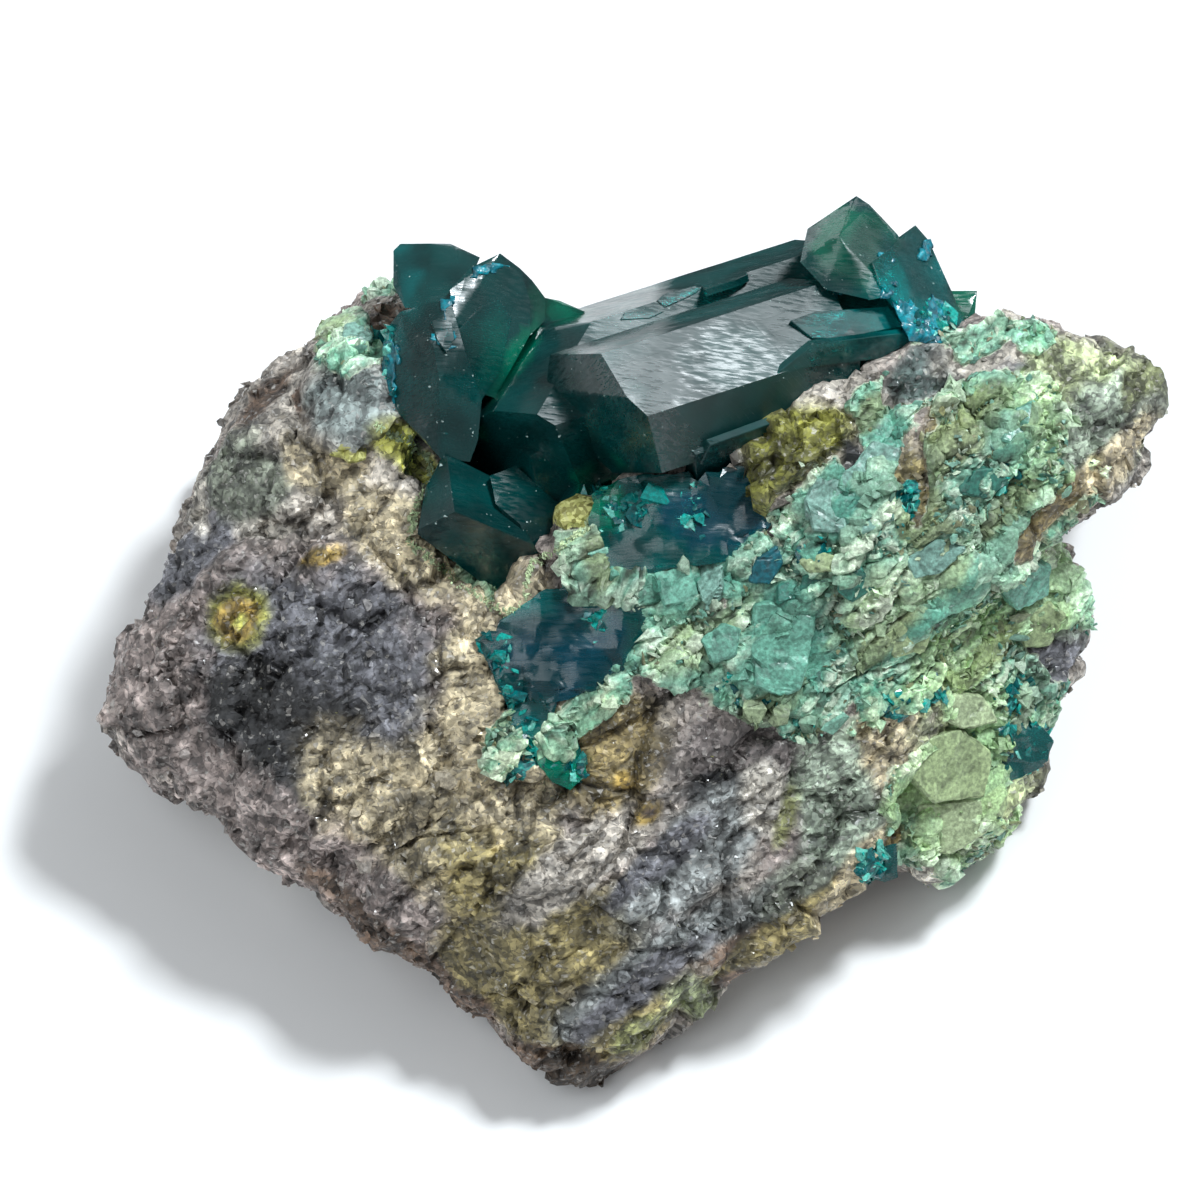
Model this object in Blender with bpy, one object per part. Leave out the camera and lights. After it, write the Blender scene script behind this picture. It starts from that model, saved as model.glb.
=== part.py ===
"""A specimen of dioptase: dark blue-green crystals grown in a hollow of a rough quartz rock.

The rock and the crystals are laid out as someone looking down on the specimen sees them, in millimetres:
x to the right, y up the view and w towards the eye. The view is then leaned back, so that the
flat underside of the rock lies on z = 0.
"""

import math

import bmesh
import bpy
from mathutils import Quaternion, Vector, noise

MM = 0.001
LOOK_DOWN = math.radians(65)  # how steeply the laid-out view looks down on the specimen
VIEW_MIDDLE = Vector((-1.9, -0.5, 16.2))  # where the middle of the view stands over the base, mm
CLEARANCE = 0.3  # gap between touching pieces, mm
FLAT_ENOUGH = math.radians(4)  # faces that differ by less are one face
SHORTEST_EDGE = 0.08  # mm

# The rock.
ROCK_VOXEL = 0.5  # how finely the rock's lumps are merged, mm
ROCK_TRIANGLES = 5200
FLOOR_SHARE = 0.86  # the rock's foot against its outline in the view
BACK_LEAN = 0.6  # how far the rock's back leans, from upright (0) to along the line of sight (1)
BELOW_BASE = 2.5  # how far the rock is built past its flat underside before it is cut, mm
BREAKS = ((6.0, 1.3), (2.2, 0.8))  # width and height of its broken faces, large and small, mm

# Directions in the laid-out view.
MAIN_AXIS = Vector((-0.850, -0.276, 0.447))  # the way the large crystals point
MAIN_FRONT = Vector((0.303, 0.436, 0.848))  # their broad bright side
LARGEST_CRYSTAL = 60  # mm, which no crystal reaches


def to_world(point):
    """A point of the laid-out view, in mm, as metres in the specimen's own frame."""
    x, y, w = point
    deep = y * math.sin(LOOK_DOWN) - w * math.cos(LOOK_DOWN)
    high = y * math.cos(LOOK_DOWN) + w * math.sin(LOOK_DOWN)
    return (Vector((x, deep, high)) + VIEW_MIDDLE) * MM


def to_world_direction(direction):
    return (to_world(direction) - to_world((0, 0, 0))).normalized()


def plain_material(name, colour, roughness):
    material = bpy.data.materials.new(name)
    material.use_nodes = True
    shader = material.node_tree.nodes["Principled BSDF"]
    shader.inputs["Base Color"].default_value = (*colour, 1)
    shader.inputs["Roughness"].default_value = roughness
    return material


def mesh_of(bm):
    """A mesh of this bmesh, with its faces turned outwards."""
    bmesh.ops.recalc_face_normals(bm, faces=bm.faces)
    mesh = bpy.data.meshes.new("shape")
    bm.to_mesh(mesh)
    bm.free()
    return mesh


def add_object(name, bm):
    obj = bpy.data.objects.new(name, mesh_of(bm))
    bpy.context.scene.collection.objects.link(obj)
    return obj


def hull(points):
    """The smallest convex body that holds these points."""
    bm = bmesh.new()
    for point in points:
        bm.verts.new(point)
    bmesh.ops.convex_hull(bm, input=bm.verts)
    buried = [vert for vert in bm.verts if not vert.link_faces]
    bmesh.ops.delete(bm, geom=buried, context="VERTS")
    return bm


def cut_off(bm, point, outwards):
    """Cuts off what lies beyond a plane and closes the cut with a flat face."""
    cut = bmesh.ops.bisect_plane(
        bm,
        geom=bm.verts[:] + bm.edges[:] + bm.faces[:],
        plane_co=point,
        plane_no=outwards,
        clear_outer=True,
    )
    rim = [part for part in cut["geom_cut"] if isinstance(part, bmesh.types.BMEdge)]
    bmesh.ops.holes_fill(bm, edges=rim)


def freeze(obj):
    """Replaces the object's mesh by what its modifiers make of it."""
    bpy.context.view_layer.update()
    graph = bpy.context.evaluated_depsgraph_get()
    mesh = bpy.data.meshes.new_from_object(obj.evaluated_get(graph))
    obj.modifiers.clear()
    obj.data = mesh


def combine(obj, others, operation):
    """Joins the others to the object, or cuts them from it. The others are used up."""
    for other in others:
        modifier = obj.modifiers.new(other.name, "BOOLEAN")
        modifier.operation = operation
        modifier.solver = "EXACT"
        modifier.object = other
    freeze(obj)
    for other in others:
        bpy.data.objects.remove(other)


def bodies_of(bm):
    """The vertices of each separate body of a mesh, the largest body last."""
    waiting = set(bm.verts)
    bodies = []
    while waiting:
        reached = [waiting.pop()]
        body = []
        while reached:
            vert = reached.pop()
            body.append(vert)
            near = {edge.other_vert(vert) for edge in vert.link_edges} & waiting
            waiting -= near
            reached.extend(near)
        bodies.append(body)
    return sorted(bodies, key=len)


def keep_largest_body(obj):
    """Drops the crumbs that a cut leaves beside the main body."""
    bm = bmesh.new()
    bm.from_mesh(obj.data)
    for crumb in bodies_of(bm)[:-1]:
        bmesh.ops.delete(bm, geom=crumb, context="VERTS")
    bm.to_mesh(obj.data)
    bm.free()


# Crystals. A crystal is a list of flat faces, each a point on it and the direction that it faces.


def prism(middle, axis, front, across, root, ends):
    """A six-sided crystal: across is the width over each of its three pairs of sides,
    front the direction of the first pair, and ends the faces that close it, root's behind."""
    middle = Vector(middle)
    axis = Vector(axis).normalized()
    front = (Vector(front) - axis * Vector(front).dot(axis)).normalized()
    faces = [(middle - axis * root, -axis)]
    for side in range(6):
        normal = Quaternion(axis, math.radians(60 * side)) @ front
        faces.append((middle + normal * across[side % 3] / 2, normal))
    faces.extend((Vector(point), Vector(normal)) for point, normal in ends)
    return faces


def rhomb_ends(tip, axis, turn, steepness=51):
    """The three faces of a rhombohedral end, which meet in the tip."""
    axis = Vector(axis).normalized()
    sideways = axis.cross(Vector((0, 1, 0.01))).normalized()
    for third in range(3):
        outwards = Quaternion(axis, math.radians(turn + 120 * third)) @ sideways
        lean = math.radians(steepness)
        yield tip, axis * math.cos(lean) + outwards * math.sin(lean)


def shard(corners, thickness, taper=0.6):
    """A crystal seen face on: the corners of the side that faces the eye, and a smaller back."""
    front = [Vector(corner) for corner in corners]
    middle = sum(front, Vector()) / len(front)
    behind = Vector((0, 0, -thickness))
    back = [middle + (corner - middle) * taper + behind for corner in front]
    bm = hull(front + back)
    bmesh.ops.dissolve_limit(bm, angle_limit=FLAT_ENOUGH, verts=bm.verts, edges=bm.edges)
    bmesh.ops.recalc_face_normals(bm, faces=bm.faces)
    faces = [(face.calc_center_median(), face.normal.copy()) for face in bm.faces]
    bm.free()
    return faces


def cut_block(name, faces, grow=0.0):
    """A block cut down to these faces, each moved out by grow mm."""
    bm = bmesh.new()
    bmesh.ops.create_cube(bm, size=2 * LARGEST_CRYSTAL * MM)
    start = sum((point for point, _ in faces), Vector()) / len(faces)
    bmesh.ops.translate(bm, verts=bm.verts, vec=to_world(start))
    for point, normal in faces:
        outwards = to_world_direction(normal)
        cut_off(bm, to_world(point) + outwards * grow * MM, outwards)
    bmesh.ops.dissolve_degenerate(bm, dist=SHORTEST_EDGE * MM, edges=bm.edges)
    return add_object(name, bm)


def blocks_of(name, crystals, grow=0.0):
    """The crystals' blocks, joined in one object."""
    blocks = [cut_block(f"{name}_{i}", faces, grow) for i, faces in enumerate(crystals)]
    combine(blocks[0], blocks[1:], "UNION")
    return blocks[0]


def grown_solid(name, crystals, material, keep_clear_of=()):
    """Crystals grown together, as one solid that stays clear of other crystals."""
    solid = blocks_of(name, crystals)
    solid.name = name
    if keep_clear_of:
        combine(solid, [blocks_of("room", keep_clear_of, CLEARANCE)], "DIFFERENCE")
    finish_solid(solid, material)


def finish_solid(obj, material):
    keep_largest_body(obj)
    obj.data.materials.clear()
    obj.data.materials.append(material)


def main_crystals():
    """The large crystal across the hollow, its stepped far end, and the one grown behind it."""
    tip = (-2.6, 10.4, 2.0)
    large = prism(
        (-0.9, 8.9, 4.2),
        MAIN_AXIS,
        MAIN_FRONT,
        (6.8, 6.7, 6.8),
        14.2,
        [(tip, (-1.25, -0.45, 1)), (tip, (-3.0, -0.45, 1)), (tip, (-1.32, -1.32, 1))],
    )
    far_end = prism(
        (-0.9, 8.5, 3.6),
        MAIN_AXIS,
        (0.22, 0.40, 0.88),
        (6.4, 6.6, 6.6),
        19,
        [((6.0, 12.0, 3.0), MAIN_AXIS)],
    )
    lower_step = prism(
        (1.2, 7.3, 2.8),
        MAIN_AXIS,
        (0.26, 0.2, 0.9),
        (4.6, 5.0, 4.8),
        17,
        [((4.6, 7.0, 3.0), (-0.95, -0.5, 0.3))],
    )
    behind = prism(
        (-3.5, 9.25, -0.95),
        MAIN_AXIS,
        MAIN_FRONT,
        (8.0, 8.0, 8.0),
        18,
        [
            ((-2.75, 13.75, -1.1), (-0.67, 1.11, 1)),
            ((-2.75, 13.75, -1.1), (-3.0, 2.5, 1)),
            ((-5.3, 9.4, 1.9), (-0.45, -0.75, 0.5)),
        ],
    )
    return [large, far_end, lower_step, behind]


def left_crystals():
    """Curved, blade-like crystals against the left wall of the hollow."""
    right_blade = [
        (-5.0, 17.35, -0.8), (-4.4, 16.9, -1.0), (-4.0, 16.6, -1.2), (-3.5, 15.0, -1.0),
        (-3.5, 13.25, -0.6), (-5.25, 10.1, 0.4), (-5.75, 10.25, 0.8), (-6.0, 10.5, 1.0),
        (-7.25, 14.0, 1.3), (-7.5, 15.5, 0.6), (-6.5, 16.6, -0.2),
    ]
    left_blade = [
        (-7.5, 15.0, 1.3), (-8.5, 14.85, 1.0), (-10.0, 14.4, 0.1), (-10.75, 13.5, -0.7),
        (-10.85, 11.25, -0.6), (-10.25, 9.5, 0.0), (-8.75, 8.0, 0.9), (-8.0, 7.1, 1.1),
        (-6.5, 6.9, 0.8), (-6.1, 8.0, 1.1), (-5.9, 10.0, 1.3), (-6.75, 12.5, 1.9),
        (-8.4, 13.0, 2.1), (-8.0, 11.0, 2.4),
    ]
    top_left = [
        (-10.35, 17.5, -2.0), (-10.0, 17.85, -2.2), (-8.5, 17.85, -1.6), (-7.5, 17.85, -2.0),
        (-6.9, 17.45, -1.6), (-6.0, 17.15, -1.5), (-6.5, 16.0, -0.2), (-7.2, 15.0, 0.4),
        (-8.5, 14.6, 0.6), (-9.75, 14.6, 0.0), (-10.35, 15.75, -1.2),
    ]
    top_right = [
        (-4.0, 16.6, -1.8), (-3.4, 16.0, -2.0), (-2.75, 15.15, -2.2), (-2.75, 14.0, -2.0),
        (-3.5, 13.25, -1.4), (-4.5, 15.0, -1.2),
    ]
    wing = [
        (-2.75, 15.15, -2.4), (-2.0, 15.0, -2.8), (-0.75, 14.45, -3.0), (-1.25, 14.0, -3.0),
        (-3.0, 13.75, -2.4), (-3.6, 14.6, -2.2),
    ]
    return [
        shard(right_blade, 9),
        shard(left_blade, 9),
        shard(top_left, 7),
        shard(top_right, 6),
        shard(wing, 3),
    ]


def front_crystals():
    """The crystal that points at the eye at the near end of the hollow, and dark ones beside it."""
    tip = (-7.25, 4.4, 3.4)
    sides = [
        ((-9.1, 3.4, 0), (-0.98, 0.17, 0)),
        ((-8.4, 6.2, 0), (-0.88, 0.47, 0)),
        ((-7.4, 7.1, 0), (0.34, 0.94, 0)),
        ((-5.5, 6.2, 0), (0.45, 0.89, 0)),
        ((-3.9, 3.8, 0), (0.87, 0.50, 0)),
        ((-3.6, 1.2, 0), (0.80, -0.60, 0)),
        ((-9.0, 3.2, 0), (-0.603, -0.797, 0)),
        ((-6.0, 3.0, -9.0), (0, 0, -1)),
    ]
    ends = [
        (tip, (-0.676, 0.389, 0.63)),
        (tip, (0.476, 0.579, 0.66)),
        (tip, (-0.10, -0.777, 0.63)),
    ]
    pointing = [(Vector(point), Vector(normal)) for point, normal in sides + ends]
    beside = [
        (-5.5, 6.2, 1.3), (-4.2, 6.7, 0.6), (-1.6, 4.4, 0.2), (-1.5, 3.0, 0.3),
        (-3.4, 2.3, 1.2), (-4.0, 3.8, 1.9), (-5.2, 4.8, 2.0),
    ]
    turned = prism(
        (-3.5, 7.1, 0),
        (-0.30, 0.12, 0.94),
        (0.5, 0.8, 0.1),
        (5.0, 4.8, 5.2),
        8,
        rhomb_ends((-3.5, 7.2, 1.2), (-0.30, 0.12, 0.94), 35),
    )
    lower = prism(
        (-1.0, 5.0, 0),
        (-0.15, 0.25, 0.95),
        (0.9, 0.3, 0.1),
        (4.2, 4.4, 4.0),
        8,
        rhomb_ends((-1.2, 5.2, 0.9), (-0.15, 0.25, 0.95), 80),
    )
    return [pointing, shard(beside, 8), turned, lower]


def top_right_crystals():
    """Stubby crystals at the far right end of the large one."""
    peak = [
        (10.4, 18.6, -2.0), (11.0, 19.0, -2.2), (12.85, 20.25, -2.5), (13.5, 19.8, -1.8),
        (14.9, 18.3, -2.0), (15.2, 17.8, -1.5), (14.5, 15.2, 0.6), (13.5, 15.0, 1.0),
        (11.3, 15.5, 1.0), (10.0, 16.9, 0.2), (12.0, 18.2, 0.4), (10.5, 18.0, -1.0),
    ]
    rear = [
        (15.0, 18.2, -2.2), (15.8, 18.8, -2.8), (16.5, 18.0, -2.8), (17.2, 16.2, -2.6),
        (17.5, 15.0, -2.2), (18.3, 13.9, -1.8), (17.0, 12.8, 0.2), (15.5, 13.0, 0.6),
        (14.8, 14.5, 0.6), (14.0, 16.5, 0.2), (14.6, 17.7, -0.8),
    ]
    corner = [
        (17.0, 15.5, -3.2), (18.9, 15.5, -3.4), (18.8, 14.4, -3.2), (18.4, 14.1, -2.8),
        (17.0, 14.2, -2.8),
    ]
    return [shard(peak, 8), shard(rear, 8), shard(corner, 4, taper=0.8)]


def single_crystals():
    """Crystals set apart in the near slope and the far side of the rock, by name."""
    ledge = [
        (0.0, 5.6, 2.6), (2.0, 6.1, 2.8), (7.1, 6.7, 2.2), (7.7, 6.1, 2.2), (9.5, 5.5, 1.6),
        (9.2, 4.4, 2.2), (6.7, 2.2, 2.6), (4.5, 1.7, 2.8), (0.0, 1.2, 2.4), (-0.4, 4.0, 2.4),
    ]
    rim = [
        (-6.1, -2.0, 1.4), (-3.5, -0.1, 2.0), (-2.7, 0.5, 2.1), (0.0, 0.8, 2.2),
        (2.0, -0.1, 2.2), (2.5, -2.0, 2.0), (-0.2, -4.5, 2.0), (-2.7, -5.2, 1.8),
        (-5.0, -4.5, 1.5),
    ]
    rim_point = [
        (-5.1, -4.0, 1.6), (-2.0, -4.5, 1.9), (-2.7, -7.1, 1.4), (-3.6, -7.8, 1.2),
        (-4.4, -6.2, 1.3),
    ]
    slope = [
        (-3.2, -7.9, 1.3), (-1.1, -7.1, 1.5), (-0.6, -8.6, 1.3), (-1.5, -9.4, 1.1),
        (-2.6, -8.8, 1.2),
    ]
    edge = [
        (20.5, -6.5, -5.5), (21.8, -5.9, -6.2), (22.6, -7.1, -6.8), (22.3, -8.2, -7.0),
        (20.1, -9.5, -6.6), (19.2, -8.2, -5.6),
    ]
    foot = [
        (13.3, -12.8, -3.4), (14.8, -12.3, -4.0), (14.8, -13.8, -4.4), (13.5, -14.1, -4.2),
    ]
    return {
        "ledge_crystal": [shard(ledge, 4)],
        "rim_crystal": [shard(rim, 4), shard(rim_point, 3)],
        "slope_crystal": [shard(slope, 2)],
        "edge_crystal": [shard(edge, 2)],
        "foot_crystal": [shard(foot, 2)],
    }


# The rock: blocks of broken stone, merged, roughened, and cut flat underneath.

ROCK_BLOCKS = {
    "left_slope": [
        (-24.7, -6.1, -5.0), (-23.1, -0.8, -5.0), (-21.5, 1.8, -4.5), (-20.0, 3.7, -4.0),
        (-15.0, 3.0, -1.0), (-8.5, 2.0, 0.5), (-4.7, -0.8, 1.0), (-6.0, -6.0, 1.0),
        (-10.0, -11.5, 0.0), (-12.7, -15.6, -2.0), (-17.2, -11.5, -3.5), (-22.5, -7.2, -5.0),
        (-18.0, -2.0, -0.8),
    ],
    "left_shoulder": [
        (-20.2, 5.0, -6.5), (-19.4, 6.6, -6.0), (-17.7, 9.5, -6.0), (-16.0, 11.6, -6.0),
        (-13.5, 13.2, -6.0), (-11.2, 15.4, -6.5), (-10.0, 14.5, -5.0), (-10.4, 10.0, -1.5),
        (-9.0, 5.0, 0.0), (-8.7, 2.2, 0.0), (-15.0, 3.5, -1.5), (-14.0, 8.0, -2.0),
        (-18.5, 5.0, -3.0),
    ],
    "near_wedge": [
        (-12.7, -15.6, -2.0), (-8.7, -18.0, -2.5), (-4.0, -22.2, -3.0), (-0.7, -24.2, -3.5),
        (2.0, -23.0, -3.5), (7.0, -18.7, -3.0), (13.5, -13.5, -2.0), (16.0, -5.0, -0.5),
        (9.0, -4.5, 1.0), (2.0, -3.5, 1.8), (-6.0, -2.5, 1.2), (-12.5, -8.0, 0.3),
        (-2.0, -13.0, 0.8),
    ],
    "right_arm": [
        (-0.5, 2.0, 2.0), (0.0, 5.3, 2.4), (7.5, 5.8, 2.4), (11.5, 8.5, 2.2),
        (14.0, 12.0, 1.0), (18.0, 13.5, 0.0), (21.8, 13.9, -2.0), (24.6, 12.3, -2.3),
        (28.3, 10.9, -2.5), (28.2, 9.5, -2.0), (25.0, 5.7, -0.5), (22.2, 3.0, -0.5),
        (16.5, -2.0, 0.0), (5.0, -4.0, 1.5), (20.0, 8.5, 2.0),
    ],
    "far_right_lump": [
        (16.5, -2.0, -3.0), (22.2, 3.0, -5.0), (23.6, 2.0, -6.0), (24.1, 0.7, -6.5),
        (24.0, -2.0, -6.5), (23.0, -4.5, -6.5), (21.7, -5.8, -6.5), (15.0, -6.0, -3.5),
    ],
    "low_right_lump": [
        (15.0, -5.0, -3.0), (21.7, -5.8, -6.0), (22.4, -7.0, -7.0), (22.0, -8.2, -7.0),
        (20.0, -9.5, -7.0), (19.0, -12.0, -7.0), (16.5, -13.8, -7.0), (14.0, -13.0, -6.0),
    ],
    "back_left": [
        (-9.4, 16.2, -6.0), (-5.6, 15.6, -6.0), (-3.4, 13.6, -6.0), (-1.0, 12.4, -6.5),
        (-10.0, 10.0, -4.5), (-9.0, 6.0, -4.0), (-2.0, 6.0, -6.0), (2.0, 10.0, -6.5),
    ],
    "back_right": [
        (-1.0, 12.2, -6.0), (3.0, 13.6, -5.5), (8.0, 15.4, -5.0), (12.8, 17.6, -5.0),
        (15.8, 16.0, -4.5), (19.0, 13.4, -4.0), (-2.0, 6.0, -6.0), (4.0, 6.5, -5.0),
        (10.0, 8.5, -4.0), (15.0, 10.5, -2.5),
    ],
    "core": [
        (-16.0, 2.0, -4.0), (-14.0, -9.0, -3.0), (-2.0, -19.0, -5.0), (11.0, -12.0, -4.0),
        (18.5, -9.0, -6.5), (20.5, 0.0, -5.5), (18.0, 8.0, -4.0), (2.0, 5.0, -4.0),
        (-9.0, 4.0, -3.0),
    ],
    "hollow_lip": [
        (-5.6, -1.8, 1.0), (-4.6, -0.4, 1.4), (-3.4, 2.0, 1.6), (-2.0, 3.0, 1.5),
        (-1.4, 4.7, 1.8), (-0.2, 5.4, 1.9), (1.5, 4.6, 2.2), (3.5, 0.5, 2.2),
        (3.0, -4.0, 1.8), (-2.0, -5.0, 1.6),
    ],
    "middle_slope": [
        (5.0, 0.0, 2.0), (11.0, 1.0, 1.2), (16.3, -1.5, -0.5), (17.6, -6.0, -2.4),
        (15.5, -9.0, -2.6), (10.0, -8.0, -0.8), (4.0, -6.0, 1.2),
    ],
    "slate_face": [
        (-22.0, -1.2, -3.0), (-18.4, 2.4, -1.6), (-14.5, 2.9, -0.2), (-9.8, 1.4, 1.1),
        (-7.4, -3.0, 1.6), (-8.6, -10.0, 1.4), (-13.0, -13.2, -0.4), (-18.2, -9.6, -2.0),
    ],
    "left_neck": [
        (-21.0, 1.2, -5.4), (-20.2, 5.0, -6.2), (-15.5, 7.5, -3.5), (-12.0, 3.0, -1.6),
        (-14.0, -2.0, -2.4), (-19.0, -2.0, -4.0),
    ],
    "left_boulder": [
        (-19.7, 6.4, -5.2), (-18.0, 8.2, -3.2), (-14.6, 8.2, -1.4), (-13.6, 6.4, -0.8),
        (-14.6, 4.6, -0.8), (-18.4, 4.3, -3.0), (-19.9, 5.0, -4.8),
    ],
    "upper_chunk": [
        (-14.4, 11.8, -3.2), (-12.6, 11.9, -1.8), (-10.9, 11.2, -0.6), (-10.4, 9.4, -0.1),
        (-12.0, 7.5, -0.2), (-14.2, 8.4, -1.2),
    ],
    "diagonal_ridge": [
        (27.6, 10.4, -1.8), (24.6, 11.4, -1.0), (19.0, 8.6, 2.2), (13.0, 4.0, 3.0),
        (9.0, -0.5, 2.8), (12.5, -1.2, 2.0), (19.5, 4.0, 1.2), (25.6, 8.2, -0.6),
    ],
    "mint_lump": [
        (9.6, 4.4, 2.4), (12.0, 7.2, 2.6), (14.2, 8.0, 2.2), (14.6, 5.4, 2.8), (12.0, 2.6, 3.2),
        (9.8, 2.2, 3.0),
    ],
    "near_band": [
        (-12.0, -14.8, -0.9), (-8.4, -17.0, -1.2), (-2.0, -21.4, -1.8), (1.2, -22.0, -2.0),
        (6.4, -17.6, -1.4), (2.0, -15.0, 1.0), (-4.0, -13.6, 1.2), (-9.0, -12.4, 0.8),
    ],
}


def rock_block(name, corners):
    """A lump of rock: its corners, and under each of them a foot below the base, drawn in a little."""
    tops = [to_world(corner) for corner in corners]
    sight = to_world_direction((0, 0, -1))
    if name.startswith("back"):
        sight.y *= BACK_LEAN
    feet = [top + sight * ((top.z + BELOW_BASE * MM) / -sight.z) for top in tops]
    middle = sum(feet, Vector()) / len(feet)
    return hull(tops + [middle + (foot - middle) * FLOOR_SHARE for foot in feet])


def merge(obj):
    """Makes overlapping blocks one closed surface."""
    remesh = obj.modifiers.new("merge", "REMESH")
    remesh.mode = "VOXEL"
    remesh.voxel_size = ROCK_VOXEL * MM
    freeze(obj)


def broken_height(point):
    """How far the broken surface stands out at a point, in mm: flat faces that tilt every way."""
    height = 0.0
    for width, rise in BREAKS:
        place = point / (width * MM)
        nearest = noise.voronoi(place)[1][0]
        tilt = noise.noise_vector(nearest * 7.3)
        height += rise * ((place - nearest).dot(tilt) + noise.noise(nearest * 3.1) / 2)
    return height


def roughen(obj):
    mesh = obj.data
    moves = [vert.normal * broken_height(vert.co) * MM for vert in mesh.vertices]
    for vert, move in zip(mesh.vertices, moves):
        vert.co += move


def cut_underside(obj):
    """Cuts the rock flat at z = 0, where it rests."""
    bm = bmesh.new()
    bm.from_mesh(obj.data)
    cut_off(bm, Vector(), Vector((0, 0, -1)))
    bmesh.ops.recalc_face_normals(bm, faces=bm.faces)
    bm.to_mesh(obj.data)
    bm.free()


def build_rock(material, crystals):
    lumps = bmesh.new()
    for name, corners in ROCK_BLOCKS.items():
        block = mesh_of(rock_block(name, corners))
        lumps.from_mesh(block)
        bpy.data.meshes.remove(block)
    matrix = add_object("matrix", lumps)
    merge(matrix)
    roughen(matrix)
    merge(matrix)
    thin = matrix.modifiers.new("thin", "DECIMATE")
    thin.ratio = ROCK_TRIANGLES / (2 * len(matrix.data.polygons))
    freeze(matrix)
    cut_underside(matrix)
    combine(matrix, [blocks_of("room", crystals, CLEARANCE)], "DIFFERENCE")
    finish_solid(matrix, material)


def main():
    for obj in list(bpy.data.objects):
        bpy.data.objects.remove(obj)
    stone = plain_material("quartz_rock", (0.36, 0.35, 0.32), 0.6)
    gem = plain_material("dioptase", (0.01, 0.16, 0.15), 0.15)
    cluster = main_crystals() + left_crystals() + front_crystals() + top_right_crystals()
    grown_solid("crystal_cluster", cluster, gem)
    crystals = list(cluster)
    for name, grown in single_crystals().items():
        grown_solid(name, grown, gem, keep_clear_of=cluster)
        crystals.extend(grown)
    build_rock(stone, crystals)


main()
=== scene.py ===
import math

import bmesh
import bpy
import numpy as np
from mathutils import Matrix, Vector, noise
from mathutils.bvhtree import BVHTree


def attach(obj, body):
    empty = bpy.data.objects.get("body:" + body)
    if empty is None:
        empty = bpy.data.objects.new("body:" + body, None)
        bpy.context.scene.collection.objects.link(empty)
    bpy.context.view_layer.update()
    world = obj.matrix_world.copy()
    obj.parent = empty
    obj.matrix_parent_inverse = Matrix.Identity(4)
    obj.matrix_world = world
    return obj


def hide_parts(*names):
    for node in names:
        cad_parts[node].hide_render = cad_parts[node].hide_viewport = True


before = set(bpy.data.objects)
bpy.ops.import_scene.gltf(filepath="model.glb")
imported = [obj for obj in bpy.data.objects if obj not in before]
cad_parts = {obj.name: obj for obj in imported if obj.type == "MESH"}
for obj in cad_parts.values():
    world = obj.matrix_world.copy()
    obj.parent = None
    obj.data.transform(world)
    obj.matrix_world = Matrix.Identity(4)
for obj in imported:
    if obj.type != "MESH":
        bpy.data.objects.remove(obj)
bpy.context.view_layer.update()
print("frame loaded:", sorted(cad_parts))

view = {
    "lookDown": math.radians(65),  # how steeply the camera looks down on the specimen
    "middle": Vector((-1.9, -0.5, 16.2)),  # what stands in the middle of the picture, mm
    "pixels": 20,  # of the 1200 pixel picture, to the millimetre
    "distance": 1200,  # mm
    "width": 60,  # of the picture, mm
}
sinDown = math.sin(view["lookDown"])
cosDown = math.cos(view["lookDown"])
towardsEye = Vector((0, -cosDown, sinDown))
viewRight = Vector((1, 0, 0))
viewUp = Vector((0, sinDown, cosDown))
crustLay = viewRight * math.cos(0.65) + viewUp * math.sin(0.65)  # the way the rock's layers run


def atPixel(px, py, out=0.0):
    # a place of the 1200 pixel picture, so many mm nearer the eye than the middle of the specimen
    x = (px - 600) / view["pixels"]
    y = (600 - py) / view["pixels"]
    return view["middle"] + viewRight * x + viewUp * y + towardsEye * out


def lookAlong(tree, px, py):
    # where the line of sight through a pixel first meets a surface, and which way that faces
    spot, facing, _, _ = tree.ray_cast(atPixel(px, py, 60), -towardsEye)
    if spot is None:
        spot, facing, _, _ = tree.find_nearest(atPixel(px, py))
    return spot, facing


def treeOf(meshes):
    # finished meshes as one tree, in mm
    corners, faces = [], []
    for mesh in meshes:
        faces += [tuple(v + len(corners) for v in f.vertices) for f in mesh.polygons]
        corners += [v.co * 1000 for v in mesh.vertices]
    return BVHTree.FromPolygons(corners, faces)


# meshes
def nodeCopy(name):
    bm = bmesh.new()
    bm.from_mesh(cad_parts[name].data)
    bmesh.ops.scale(bm, vec=(1000, 1000, 1000), verts=bm.verts)
    bmesh.ops.remove_doubles(bm, verts=bm.verts, dist=0.002)
    return bm


def asObject(name, bm):
    mesh = bpy.data.meshes.new(name)
    bm.to_mesh(mesh)
    bm.free()
    piece = bpy.data.objects.new(name, mesh)
    bpy.context.scene.collection.objects.link(piece)
    return piece


def withModifiers(piece):
    # the piece's modifiers become part of its mesh
    bpy.context.view_layer.update()
    shaped = bpy.data.meshes.new_from_object(piece.evaluated_get(bpy.context.evaluated_depsgraph_get()))
    piece.modifiers.clear()
    piece.data = shaped
    return piece


def thicken(piece, thickness):
    solid = piece.modifiers.new("thickness", "SOLIDIFY")
    solid.thickness = thickness
    solid.offset = -1
    withModifiers(piece)


def finish(piece, material, slot, *nodes):
    # to metres, on the body, with its finish, and in place of its solids
    piece.data.transform(Matrix.Scale(0.001, 4))
    piece.data.materials.clear()
    piece.data.materials.append(material)
    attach(piece, "root")
    if nodes:
        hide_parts(*nodes)
    print(piece.name, len(piece.data.polygons), "faces")
    return piece


def points(mesh):
    flat = np.empty(len(mesh.vertices) * 3)
    mesh.vertices.foreach_get("co", flat)
    return flat.reshape(-1, 3)


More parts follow.
